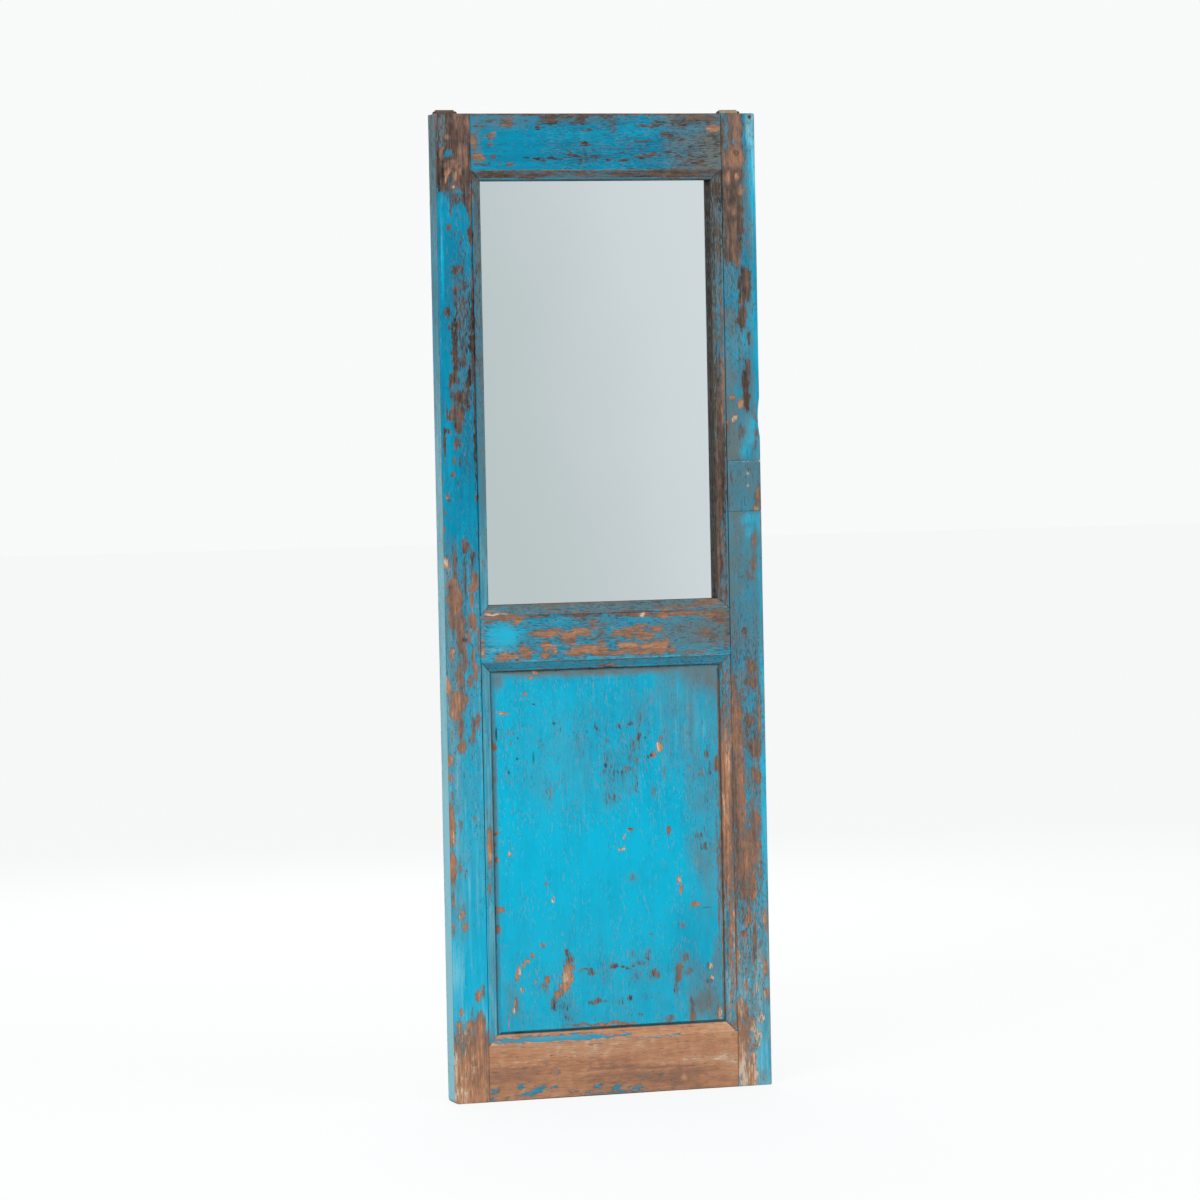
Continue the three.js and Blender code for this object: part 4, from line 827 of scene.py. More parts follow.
topRail = {
    "node": "top_rail",
    "slot": "painted_timber",
    "grain": "across",
    "offset": (0.0, 0.0, 0.3),
    "brushed": 0.55,
    "streaked": 0.35,
    "steps": (11, 16, 8),
    "cuts": {"x": (57.5, 61, 449, 452.5), "z": (2.5, 82, 83.6, 87.8, 95)},
    "softness": 0.7,
    "base": {
        "loss": 0.08, "tone": 0.26, "cracks": 0.4, "grime": 0.0, "bright": 0.06, "faded": 0.0, "seam": 0.0,
        "earth": 0.6,
    },
    "bands": (
        (50, 460, 87, 98, 1.5, {"loss": 0.42, "tone": 0.3, "grime": 0.8, "bright": 0.3}),
        (50, 460, 98, 102, 1.0, {"loss": 0.15, "grime": 0.45, "bright": 0.45}),
        (50, 460, 85.4, 87.4, 1.0, {"loss": 0.6, "tone": 0.5, "faded": 0.25, "grime": 0.3}),
        (50, 460, -2, 1.6, 1.0, {"loss": 0.85, "tone": 0.26, "grime": 0.4}),
    ),
    # the reveal in the opening is darkened for dirt and as painted shade
    "revealDirtAndShade": {"loss": 0.6, "tone": 0.15, "grime": 0.9, "seam": 0.3, "bright": 0.0},
    "worn": (
        (60, 40, 5, 9, 0.9, 0.55), (60, 52, 5, 5, 0.8, 0.55), (65, 66, 11, 6, 0.95, 0.62),
        (90, 33, 7, 7, 0.8, 0.55), (82, 34, 7, 4, 0.7, 0.5), (87, 46, 6, 6, 0.5, 0.4), (88, 65, 6, 5, 0.7, 0.5),
        (112, 14, 8, 9, 0.8, 0.42), (113, 7, 10, 5, 0.7, 0.42), (72, 20, 14, 3, 0.5, 0.26),
        (90, 12, 20, 4, 0.5, 0.26), (74, 77, 14, 1.6, 0.8, 0.2), (118, 78, 5, 4, 0.8, 0.5),
        (100, 76, 4, 3, 0.6, 0.4), (185, 6, 30, 5, 0.8, 0.22), (180, 13, 24, 5, 0.7, 0.22),
        (228, 6, 20, 4, 0.75, 0.22), (225, 14, 16, 5, 0.6, 0.22), (150, 10, 20, 4, 0.4, 0.22),
        (160, 22, 6, 4, 0.7, 0.22), (240, 26, 18, 4, 0.5, 0.22), (272, 5, 14, 5, 0.7, 0.22),
        (283, 20, 10, 12, 0.45, 0.22), (236, 47, 9, 3.5, 0.85, 0.08), (165, 38, 16, 8, 0.2, 0.22),
        (150, 68, 14, 2, 0.6, 0.18), (164, 70, 12, 3, 0.75, 0.16), (186, 68, 18, 2, 0.7, 0.16),
        (212, 62, 5, 8, 0.55, 0.36), (226, 64, 14, 6, 0.45, 0.2), (232, 70, 12, 3, 0.6, 0.2),
        (255, 66, 14, 5, 0.5, 0.22), (276, 71, 8, 3, 0.7, 0.22), (298, 72, 12, 3, 0.8, 0.22),
        (296, 62, 5, 2, 0.7, 0.22), (322, 67, 10, 2.5, 0.9, 0.24), (341, 63, 12, 3.5, 1.0, 0.24),
        (357, 65, 4, 3, 0.8, 0.24), (372, 60, 14, 2, 0.85, 0.22), (384, 66, 8, 3, 0.7, 0.22),
        (340, 19, 22, 3, 0.85, 0.26), (356, 14, 10, 3, 0.8, 0.26), (366, 33, 12, 5, 0.8, 0.24),
        (320, 43, 26, 2, 0.6, 0.24), (300, 54, 30, 2, 0.45, 0.24), (386, 40, 14, 6, 0.5, 0.24),
        (390, 14, 20, 12, 0.6, 0.26), (420, 8, 40, 8, 0.75, 0.3), (428, 60, 36, 26, 0.42, 0.3),
        (445, 40, 12, 30, 0.5, 0.3), (443, 23, 11, 6, 1.0, 0.76), (420, 76, 5, 3, 0.9, 0.5),
        (400, 75, 20, 8, 0.6, 0.26),
        # moulding
        (95, 93, 40, 5, 0.9, 0.3), (160, 95, 34, 4, 0.85, 0.34), (235, 92, 20, 3, 0.7, 0.36),
        (300, 93, 24, 4, 0.85, 0.4), (380, 92, 60, 6, 1.0, 0.34), (330, 96, 14, 3, 0.6, 0.2),
        (255, 2, 220, 1.6, 0.95, 0.24),
    ),
    "kept": ((435, 52, 8, 12, 0.5), (70, 98.5, 40, 1.5, 0.6), (220, 98, 60, 2, 0.8)),
    "cracks": (
        (225, 62, 90, 14, 1.0), (255, 20, 80, 16, 0.8), (345, 50, 60, 40, 1.0), (130, 40, 40, 30, 0.1),
        (420, 50, 50, 50, 0.9),
    ),
    "grime": (
        (63, 45, 9, 30, 0.5), (430, 50, 50, 60, 1.0), (395, 55, 26, 40, 0.6), (390, 12, 40, 14, 0.7),
        (100, 10, 50, 12, 0.5), (255, 93, 210, 6, 0.7), (240, 8, 60, 8, 0.4),
    ),
    "bright": ((200, 30, 60, 12, 0.16), (150, 80, 90, 7, 0.14), (320, 30, 30, 12, 0.3)),
    "earth": ((425, 55, 40, 40, 1.0),),
    "seam": ((255, 99.6, 220, 0.8, 0.6), (55.2, 42, 0.8, 48, 0.4), (454.8, 42, 0.8, 48, 0.9)),
    "back": oldBack,
}

middleRail = {
    "node": "middle_rail",
    "slot": "painted_timber",
    "grain": "across",
    "offset": (0.5, 0.0, 0.9),
    "brushed": 0.6,
    "streaked": 0.35,
    "steps": (11, 16, 8),
    "cuts": {"x": (57.5, 61, 449, 452.5), "z": (748, 757, 760.2, 762, 828, 829.8, 832.5, 840)},
    "softness": 0.7,
    "base": {
        "loss": 0.24, "tone": 0.5, "cracks": 0.9, "grime": 0.25, "bright": 0.45, "faded": 0.04, "seam": 0.0,
        "earth": 0.5,
    },
    "bands": (
        (50, 460, 744, 758, 1.5, {
            "loss": 0.26, "tone": 0.36, "grime": 0.9, "bright": 0.4, "earth": 0.35, "faded": 0.1,
        }),
        # this pale arris line is worn, and also a painted highlight where the arris catches light from above
        (50, 460, 758, 760.3, 1.0, {"loss": 0.55, "tone": 0.58, "grime": 0.3}),
        (50, 460, 832, 846, 1.5, {"loss": 0.22, "tone": 0.5, "grime": 0.3, "bright": 0.6}),
        (50, 460, 829.6, 831.8, 1.0, {"loss": 0.3, "tone": 0.7, "faded": 0.25, "grime": 0.1}),
    ),
    # the reveal in the opening is darkened for dirt and as painted shade
    "revealDirtAndShade": {"loss": 0.6, "tone": 0.3, "grime": 0.9, "bright": 0.1},
    "worn": (
        (95, 763, 34, 4, 0.95, 0.63), (112, 770, 10, 5, 0.7, 0.63), (70, 768, 10, 6, 0.6, 0.57),
        (150, 763, 20, 3, 0.8, 0.4), (220, 763, 40, 3, 0.85, 0.34), (212, 768, 14, 5, 0.7, 0.3),
        (300, 764, 40, 4, 0.85, 0.36), (370, 765, 50, 5, 0.9, 0.57), (345, 768, 16, 5, 0.8, 0.63),
        (430, 768, 24, 8, 0.9, 0.57), (155, 790, 20, 6, 1.0, 0.67), (172, 787, 14, 5, 0.95, 0.67),
        (195, 796, 14, 9, 1.0, 0.67), (214, 788, 18, 6, 0.95, 0.65), (234, 777, 9, 10, 0.7, 0.59),
        (246, 790, 8, 5, 0.6, 0.4), (245, 800, 10, 8, 0.5, 0.57), (276, 792, 12, 6, 0.85, 0.65),
        (292, 793, 16, 10, 0.85, 0.63), (315, 797, 18, 7, 0.9, 0.65), (310, 785, 14, 7, 0.7, 0.63),
        (336, 788, 14, 6, 0.75, 0.63), (350, 800, 12, 6, 0.5, 0.57), (275, 806, 8, 4, 0.7, 0.57),
        (200, 806, 8, 4, 0.6, 0.57), (97, 822, 14, 6, 0.9, 0.76), (86, 825, 8, 4, 0.7, 0.76),
        (127, 818, 9, 10, 0.95, 0.63), (120, 812, 5, 6, 0.7, 0.63), (160, 808, 9, 11, 0.75, 0.63),
        (158, 822, 8, 6, 0.7, 0.65), (172, 815, 6, 8, 0.6, 0.63), (203, 821, 14, 6, 0.95, 0.61),
        (225, 815, 20, 7, 0.95, 0.61), (245, 820, 16, 7, 1.0, 0.63), (247, 808, 6, 6, 0.8, 0.61),
        (272, 823, 12, 5, 0.85, 0.65), (290, 815, 16, 9, 0.95, 0.67), (305, 822, 14, 6, 0.9, 0.67),
        (334, 816, 24, 11, 1.0, 0.67), (356, 822, 8, 5, 0.8, 0.67), (395, 825, 30, 3, 0.5, 0.63),
        (412, 797, 12, 8, 0.7, 0.57), (428, 802, 12, 6, 0.65, 0.57), (440, 776, 14, 8, 0.8, 0.42),
        (430, 812, 20, 5, 0.4, 0.57), (450, 800, 5, 30, 0.6, 0.45), (314, 765, 3.5, 4, 1.0, 1.0),
        (60, 800, 4, 30, 0.5, 0.67), (58, 815, 4, 10, 0.8, 0.7),
        # mouldings
        (240, 751, 170, 3, 0.36, 0.36), (420, 748, 24, 5, 0.95, 0.6), (380, 754, 50, 4, 0.8, 0.5),
        (70, 752, 10, 4, 0.5, 0.8), (210, 745.5, 180, 1.3, 0.7, 0.5), (258, 841, 18, 3, 0.7, 0.7),
        (285, 834, 30, 2, 0.4, 0.5), (200, 845, 150, 1.2, 0.7, 0.4), (255, 759, 200, 1.0, 0.5, 0.5),
        # this pale stroke along the moulding's arris is worn paint and a painted highlight
        (78, 757.5, 22, 1.6, 1.0, 0.95),
    ),
    "kept": ((88, 792, 24, 16, 0.95), (170, 773, 30, 5, 0.5), (90, 812, 20, 4, 0.6)),
    "cracks": ((200, 790, 100, 30, 1.0), (380, 795, 70, 30, 0.5), (88, 792, 22, 16, 0.1), (255, 838, 200, 5, 0.5)),
    "grime": (
        (395, 795, 60, 26, 0.9), (440, 780, 20, 30, 1.0), (255, 752, 200, 5, 0.9), (240, 785, 30, 16, 0.55),
        (255, 838, 150, 5, 0.35), (130, 778, 30, 8, 0.2),
    ),
    "bright": ((88, 792, 26, 18, 1.0), (70, 822, 16, 8, 0.9), (250, 829, 190, 2, 0.7)),
    "faded": ((80, 812, 24, 5, 0.2),),
    "seam": (
        (255, 761.2, 200, 0.8, 0.6), (255, 832.5, 200, 0.9, 0.55), (55.2, 795, 0.8, 34, 0.5),
        (454.8, 795, 0.8, 34, 0.8), (112, 828, 1.8, 1.5, 1.0), (160, 769, 2, 1.4, 1.0), (255, 845.4, 200, 0.8, 0.5),
    ),
    "back": oldBack,
}

bottomRail = {
    "node": "bottom_rail",
    "slot": "bare_timber",
    "grain": "across",
    "offset": (0.2, 0.0, 1.7),
    "brushed": 0.6,
    "streaked": 0.16,
    "mottled": 0.3,
    "steps": (11, 16, 8),
    "cuts": {"x": (57.5, 61, 449, 452.5), "z": (1402, 1411, 1414.6, 1417, 1497)},
    "softness": 0.75,
    "base": {
        "loss": 1.0, "tone": ((1399, 0.82), (1440, 0.82), (1465, 0.77), (1500, 0.76)), "cracks": 0.1,
        "grime": ((1399, 0.05), (1450, 0.1), (1470, 0.25), (1500, 0.3)), "bright": 0.4, "faded": 0.1, "seam": 0.0,
    },
    "worn": (
        (300, 1425, 140, 10, 1.0, 0.83), (150, 1430, 80, 8, 1.0, 0.82), (340, 1405, 90, 5, 1.0, 0.81),
        (430, 1440, 30, 20, 1.0, 0.83), (380, 1452, 60, 4, 1.0, 0.85), (200, 1450, 70, 6, 1.0, 0.73),
        (270, 1475, 60, 8, 1.0, 0.63), (370, 1478, 50, 10, 1.0, 0.63), (100, 1460, 40, 10, 1.0, 0.67),
        (420, 1485, 34, 12, 1.0, 0.79), (445, 1460, 10, 30, 1.0, 0.85), (90, 1493, 40, 5, 1.0, 0.75),
        (255, 1458, 30, 2, 1.0, 0.55), (330, 1462, 50, 2, 1.0, 0.55), (368, 1479, 4, 4, 1.0, 0.85),
    ),
    "kept": (
        (62, 1484, 7, 6, 0.7), (105, 1479, 8, 5, 0.7), (135, 1484, 12, 6, 0.75), (118, 1490, 10, 4, 0.7),
        (157, 1483, 6, 4, 0.6), (164, 1458, 5, 5, 0.45), (145, 1444, 9, 3, 0.4), (186, 1490, 9, 3, 0.65),
        (212, 1493, 7, 4, 0.7), (228, 1486, 8, 5, 0.75), (258, 1489, 10, 5, 0.8), (290, 1491, 16, 4, 0.7),
        (250, 1497, 60, 2, 0.6), (330, 1476, 5, 5, 0.4), (95, 1494, 30, 3, 0.5), (434, 1433, 6, 4, 0.45),
        (225, 1422, 12, 4, 0.4), (300, 1475, 12, 5, 0.35), (60, 1497, 4, 3, 0.6),
        # moulding keeps its paint on the left
        (140, 1408, 85, 4.5, 0.95), (215, 1410, 50, 3, 0.8), (275, 1408, 10, 3, 0.6), (330, 1414, 40, 1.4, 0.6),
    ),
    "cracks": ((270, 1465, 150, 24, 0.35),),
    "grime": ((360, 1478, 60, 12, 0.35), (120, 1408, 90, 5, 0.6)),
    "bright": ((140, 1408, 90, 5, 0.6), (135, 1484, 20, 8, 0.4)),
    # the line at drop 1414.6 paints a highlight along the moulding's arris
    "faded": ((130, 1409, 90, 4, 0.3), (255, 1414.6, 200, 1.2, 0.9), (140, 1409, 80, 3, 0.15)),
    "seam": (
        (255, 1399.4, 200, 0.8, 0.3), (55.2, 1458, 0.8, 44, 0.4), (454.8, 1458, 0.8, 44, 0.4),
        (255, 1499.5, 220, 0.8, 0.9),
    ),
    "backFrom": 16,
    "back": oldBack,
}

lowerPanel = {
    "node": "lower_panel",
    "slot": "painted_timber",
    "grain": "up",
    "offset": (0.7, 0.0, 0.4),
    "clouded": 0.6,
    "brushed": 0.3,
    "streaked": 0.3,
    "steps": (10, 12, 12),
    "cuts": {"x": (73, 79, 431, 435, 438), "z": (850, 856, 1392, 1396)},
    "softness": 0.5,
    "broken": 0.66,
    "checkDepth": 0.34,
    "smudged": 0.42,
    "backFrom": 12,
    "base": {
        "loss": ((850, 0.08), (930, 0.19), (1020, 0.17), (1100, 0.06), (1250, 0.07), (1330, 0.13), (1400, 0.1)),
        "tone": 0.56,
        "cracks": ((850, 0.35), (1000, 0.45), (1120, 0.2), (1250, 0.2), (1400, 0.35)),
        "grime": ((850, 0.04), (1000, 0.0), (1200, 0.03), (1400, 0.16)),
        "earth": 0.6,
        "bright": ((850, 0.66), (960, 0.8), (1080, 0.9), (1400, 0.86)),
        "faded": 0.0,
        "seam": 0.0,
    },
    "bands": (
        (434.6, 438.0, 866, 1392, 0.7, {"loss": 0.8, "tone": 0.93, "grime": 0.0, "cracks": 0.1}),
        # the strips at the right edge, left edge and top are darkened for dirt and as painted shadow of the moulding
        # round the panel
        (438.0, 440, 850, 1396, 0.7, {"loss": 0.85, "tone": 0.5, "grime": 0.4, "earth": 1.0}),
        (70, 73.6, 850, 1396, 1.2, {"loss": 0.3, "tone": 0.5, "grime": 0.35}),
        (70, 440, 844, 848.5, 1.5, {"grime": 0.9, "loss": 0.3, "tone": 0.3}),
    ),
    "worn": (
        (141, 846, 6, 4, 1.0, 0.86), (135, 857, 4, 3, 0.9, 0.9), (125, 879, 4, 4, 0.85, 0.9),
        (87, 907, 12, 1.8, 0.95, 0.92), (100, 938, 12, 5, 0.5, 0.6), (72, 958, 5, 9, 0.95, 0.62),
        (73, 1010, 4, 8, 0.9, 0.6), (76, 1090, 4, 4, 0.85, 0.9), (96, 1124, 4, 5, 0.85, 0.95),
        (75, 1132, 3, 4, 0.8, 0.9), (77, 1208, 7, 5, 1.0, 0.76), (73, 1238, 5, 7, 0.95, 0.7),
        (151, 1171, 3, 4, 0.6, 0.7), (163, 1195, 2.5, 4, 0.8, 0.95),
        # soft streaked losses in the middle
        (178, 985, 44, 60, 0.26, 0.44), (225, 935, 26, 34, 0.26, 0.4), (226, 928, 6, 8, 0.45, 0.4),
        (236, 936, 3, 6, 0.6, 0.3), (255, 957, 3, 6, 0.6, 0.34), (252, 1000, 6, 30, 0.36, 0.3),
        (272, 1003, 18, 26, 0.34, 0.3), (277, 1008, 3, 7, 0.6, 0.26), (290, 983, 5, 6, 0.6, 0.4),
        (300, 990, 3, 6, 0.7, 0.4), (287, 1000, 4, 8, 0.75, 0.5), (305, 954, 4, 10, 0.8, 0.34),
        (306, 930, 3, 16, 0.6, 0.34), (320, 940, 3, 12, 0.5, 0.34), (298, 968, 10, 10, 0.5, 0.34),
        (300, 1022, 4, 14, 0.55, 0.34), (265, 1045, 5, 10, 0.6, 0.34), (252, 1045, 10, 14, 0.45, 0.3),
        (281, 1065, 3, 5, 0.5, 0.4), (160, 1030, 10, 20, 0.45, 0.5), (178, 1018, 8, 8, 0.5, 0.6),
        (326, 1038, 5, 5, 0.5, 0.5), (275, 936, 3, 4, 0.85, 0.1), (292, 934, 5, 3, 0.9, 0.12),
        (338, 970, 5, 7, 1.0, 0.84), (340, 957, 3, 5, 0.9, 0.8), (329, 981, 5, 5, 0.8, 0.66),
        (345, 1006, 3, 10, 0.6, 0.6), (322, 982, 5, 2, 0.8, 0.2), (350, 950, 6, 14, 0.4, 0.4),
        (414, 980, 5, 14, 0.6, 0.4), (420, 1006, 3, 14, 0.6, 0.3), (405, 1014, 4, 8, 0.55, 0.5),
        (430, 1000, 4, 14, 0.8, 0.72), (412, 1054, 4, 8, 0.6, 0.45), (409, 1126, 8, 9, 0.66, 0.42),
        (408, 1106, 8, 12, 0.5, 0.4), (398, 1110, 6, 8, 0.5, 0.36), (288, 1095, 5, 3, 1.0, 0.7),
        (278, 1107, 2.5, 3, 0.8, 0.95), (275, 1125, 6, 4, 0.75, 0.95), (351, 1099, 4, 7, 0.9, 0.62),
        (366, 1176, 4, 8, 0.85, 0.8), (369, 1190, 3, 6, 0.7, 0.8), (392, 1214, 9, 4, 1.0, 0.72),
        (289, 1168, 8, 6, 0.6, 0.6), (372, 1246, 4, 5, 0.75, 0.6), (322, 1258, 8, 1.4, 0.9, 0.4),
        (288, 1172, 6, 3, 0.5, 0.4),
        # the long chip and what hangs below it
        (187, 1290, 8, 9, 1.0, 0.44), (186, 1302, 9, 9, 1.0, 0.74), (183, 1316, 9, 11, 1.0, 0.8),
        (178, 1330, 9, 9, 1.0, 0.78), (168, 1344, 7, 6, 1.0, 0.68), (161, 1353, 6, 5, 1.0, 0.4),
        (183, 1278, 3, 6, 0.9, 0.3), (161, 1363, 6, 5, 0.8, 0.16), (180, 1360, 8, 9, 0.65, 0.2),
        (182, 1378, 8, 8, 0.6, 0.24), (150, 1317, 5, 6, 0.75, 0.66), (146, 1329, 7, 6, 0.8, 0.6),
        (132, 1320, 4, 4, 0.6, 0.86),
        # pale scratches
        (146, 1266, 6, 5, 0.6, 0.86), (129, 1280, 5, 4, 0.9, 0.84), (120, 1288, 5, 4, 0.95, 0.86),
        (113, 1296, 4, 4, 0.8, 0.86), (106, 1303, 4, 6, 0.9, 0.88), (102, 1312, 3, 5, 0.85, 0.88),
        (112, 1333, 4, 4, 0.6, 0.86), (101, 1352, 3, 9, 0.85, 0.88), (98, 1362, 4, 5, 0.7, 0.88),
        (90, 1368, 5, 2, 0.7, 0.88), (88, 1385, 2, 12, 0.6, 0.86),
        # lower marks
        (215, 1308, 15, 1.8, 0.85, 0.4), (224, 1311, 8, 2.5, 0.8, 0.44), (226, 1357, 12, 5, 0.85, 0.44),
        (245, 1358, 14, 1.6, 0.7, 0.4), (258, 1302, 7, 5, 0.8, 0.34), (278, 1307, 16, 1.6, 0.85, 0.3),
        (290, 1284, 7, 6, 0.6, 0.46), (312, 1289, 6, 8, 0.75, 0.42), (300, 1302, 12, 5, 0.6, 0.4),
        (325, 1318, 10, 9, 0.72, 0.42), (294, 1320, 9, 9, 0.5, 0.44), (284, 1354, 5, 6, 0.85, 0.26),
        (268, 1356, 10, 8, 0.5, 0.42), (306, 1352, 8, 8, 0.4, 0.42), (299, 1378, 5, 4, 0.65, 0.3),
        (358, 1342, 5, 9, 0.7, 0.4), (364, 1312, 8, 9, 1.0, 0.56), (362, 1325, 6, 9, 1.0, 0.5),
        (374, 1297, 7, 8, 0.9, 0.6), (378, 1318, 9, 8, 0.7, 0.5), (382, 1372, 4, 20, 0.8, 0.44),
        (384, 1388, 4, 8, 0.9, 0.62), (414, 1311, 3, 4.5, 1.0, 1.0), (416, 1332, 3, 4, 1.0, 0.98),
        (410, 1335, 6, 4, 0.8, 0.3), (200, 1391, 26, 3, 0.85, 0.56), (240, 1392, 34, 3, 0.9, 0.66),
        (275, 1393, 20, 3, 0.85, 0.66), (345, 1388, 8, 5, 0.8, 0.6), (430, 1180, 3, 160, 0.7, 0.5),
        (72, 1100, 3, 200, 0.5, 0.4), (428, 1385, 4, 14, 0.9, 0.9),
    ),
    "cracks": (
        (225, 960, 90, 70, 0.35), (272, 1003, 30, 50, 0.75), (225, 930, 24, 30, 0.55), (300, 960, 20, 50, 0.65),
        (178, 1350, 16, 40, 0.8), (415, 1000, 24, 70, 0.55), (408, 1120, 24, 50, 0.6), (280, 1310, 60, 24, 0.6),
        (370, 1310, 24, 40, 0.6), (330, 930, 60, 40, 0.35),
    ),
    "grime": (
        # the strokes at drop 848 along the top, at across 71 and 438.6 down the sides, and in the top corners paint the
        # moulding's shadow along with dirt
        (255, 848, 190, 9, 0.95), (82, 860, 10, 14, 0.8), (430, 900, 12, 70, 0.9), (410, 880, 60, 44, 0.85),
        (400, 960, 50, 60, 0.3), (415, 1100, 30, 120, 0.45), (272, 1003, 22, 34, 0.25), (405, 1362, 22, 34, 1.0),
        (424, 1340, 8, 60, 0.9), (400, 1330, 30, 24, 0.5), (71, 1100, 6, 290, 0.8), (438.6, 1120, 2, 290, 0.8),
        (90, 1350, 20, 30, 0.3), (255, 1397, 190, 2, 0.8), (350, 900, 60, 30, 0.3), (180, 985, 50, 60, 0.2),
    ),
    "bright": (
        (150, 1150, 70, 180, 0.98), (310, 1190, 60, 90, 0.96), (390, 1270, 40, 60, 0.7), (110, 900, 30, 40, 0.8),
    ),
    "earth": (
        # the earth strokes at drop 850 and at across 437 and 70 tint that painted shadow and dirt brown
        (400, 900, 60, 60, 0.8), (400, 1350, 40, 60, 1.0), (255, 850, 200, 8, 0.9), (437, 1120, 6, 300, 0.9),
        (70, 1120, 5, 300, 0.7),
    ),
    "faded": ((380, 930, 50, 60, 0.14), (200, 1050, 30, 80, 0.08)),
    "seam": (
        (138, 897, 1.8, 2, 1.0), (170, 927, 1.8, 3, 1.0), (112, 947, 1.8, 2, 1.0), (110, 979, 2, 2.5, 1.0),
        (97, 999, 1.6, 3.5, 1.0), (135.5, 978, 1.3, 16, 1.0), (78, 940, 1.5, 11, 0.9), (222, 941, 1.6, 1.6, 0.9),
        (316, 955, 1.8, 2, 1.0), (251, 995, 2, 4, 1.0), (158, 1315, 1.2, 12, 0.9), (410, 1221, 12, 1.2, 0.7),
        (411, 1310, 4, 7, 0.55), (202, 943, 1.6, 1.8, 0.8), (345, 1310, 1.2, 14, 0.6),
        (255, 1396.6, 190, 0.9, 0.45), (288, 1093, 4, 1.2, 0.7), (105, 1397, 12, 2, 0.6),
    ),
    "back": {"loss": 0.8, "tone": 0.4, "grime": 0.35, "faded": 0.0, "cracks": 0.7},
}

for timber in (leftStile, rightStile, lockPatch, topRail, middleRail, bottomRail, lowerPanel):
    timberPiece(timber)


# Turned and sheet-metal pieces

def finish(piece, name, material, body="frame", nodes=(), angle=32):
    piece.name = name
    piece.data.name = name
    select(piece)
    bpy.ops.object.transform_apply(location=True, rotation=True, scale=True)
    if material:
        piece.data.materials.clear()
        piece.data.materials.append(material)
    bpy.ops.object.shade_smooth_by_angle(angle=radians(angle))
    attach(piece, body)
    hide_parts(*nodes)


def turnedPiece(profile, sides, top, direction):
    # profile runs down the axis as (radius, distance); the top looks along the direction
    bpy.ops.object.select_all(action="DESELECT")
    (radius, start), *rest = profile
    bpy.ops.mesh.primitive_circle_add(
        vertices=sides, radius=radius / 1000, fill_type="NGON", location=(0, 0, -start / 1000)
    )
    piece = bpy.context.object
    bpy.ops.object.transform_apply(location=True)
    bpy.ops.object.mode_set(mode="EDIT")
    bpy.ops.mesh.select_all(action="SELECT")
    for nextRadius, distance in rest:
        bpy.ops.mesh.extrude_region_move(TRANSFORM_OT_translate={"value": (0, 0, (start - distance) / 1000)})
        ratio = nextRadius / radius
        bpy.ops.transform.resize(value=(ratio, ratio, 1), center_override=(0, 0, -distance / 1000))
        radius, start = nextRadius, distance
    bpy.ops.mesh.select_all(action="SELECT")
    bpy.ops.mesh.normals_make_consistent(inside=False)
    bpy.ops.object.mode_set(mode="OBJECT")
    turn = Vector(direction).to_track_quat("Z", "Y").to_matrix().to_4x4()
    piece.matrix_world = Matrix.Translation(Vector(top) / 1000) @ turn
    return piece


def middleOf(node):
    low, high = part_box(node)
    return (low + high) * 500


def ironMaterial(name, look):
    material, tree, place = newMaterial(name)
    rust = useGroup(tree, filmGroup, {"Vector": place, "Amount": look["rust"], "Scale": 260.0})["Mask"]
    pits = noiseAt(tree, place, 900, 1, 3, 0.6)
    colour = blendColours(tree, rampUp(tree, pits, 0.35, 0.65), look["dark"], look["metal"])
    rusty = blendColours(tree, rampUp(tree, pits, 0.3, 0.7), look["rustDark"], look["rustLight"])
    colour = blendColours(tree, rust, colour, rusty)
    height = calculate(tree, "ADD", calculate(tree, "MULTIPLY", pits, 0.6), rust)
    fillSockets(tree, tree.nodes["Principled BSDF"], {
        "Base Color": colour,
        "Metallic": rampUp(tree, rust, 0.1, 0.7, look["metallic"], 0.0),
        "Roughness": rampUp(tree, rust, 0.0, 0.8, look["roughness"], 0.85),
        "Normal": relief(tree, height, 0.5, 0.0002),
    })
    return material


oldRust = {"rustDark": (0.045, 0.020, 0.012), "rustLight": (0.19, 0.075, 0.030)}

rustyIron = ironMaterial("rusty iron", {
    **oldRust,
    "rust": 0.55,
    "dark": (0.018, 0.016, 0.015),
    "metal": (0.09, 0.08, 0.07),
    "metallic": 0.7,
    "roughness": 0.5,
})
paintedIron = ironMaterial("painted iron", {
    **oldRust,
    "rust": 0.12,
    "dark": (0.150, 0.180, 0.185),
    "metal": (0.380, 0.420, 0.420),
    "metallic": 0.0,
    "roughness": 0.6,
})


# Nails, every head a little domed

nails = {
    "timber": {"head": 2.6, "headHeight": 1.2, "shank": 1.3, "dome": 0.25, "length": 30},
    "bead": {"head": 1.5, "headHeight": 0.8, "shank": 0.8, "dome": 0.15, "length": 22},
}


def nailPiece(node, kind, direction, length=None, iron=rustyIron):
    size = nails[kind]
    low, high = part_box(node)
    centre = (low + high) / 2
    reach = Vector([abs(d) * (h - l) / 2 for d, l, h in zip(direction, low, high)])
    top = (centre + Vector([d * r for d, r in zip(direction, reach)])) * 1000
    head, shank, tall = size["head"], size["shank"], size["headHeight"]
    long = length or size["length"]
    profile = [
        (head * 0.3, -size["dome"]), (head * 0.7, -size["dome"] * 0.7), (head * 0.95, 0.0), (head, 0.25 * tall),
        (head, 0.8 * tall), (head * 0.92, tall),
        (shank, tall + 0.01), (shank, long - 2.5 * shank), (shank * 0.15, long - 0.2),
    ]
    finish(turnedPiece(profile, 16, top, direction), node + "_forged", iron, nodes=[node])


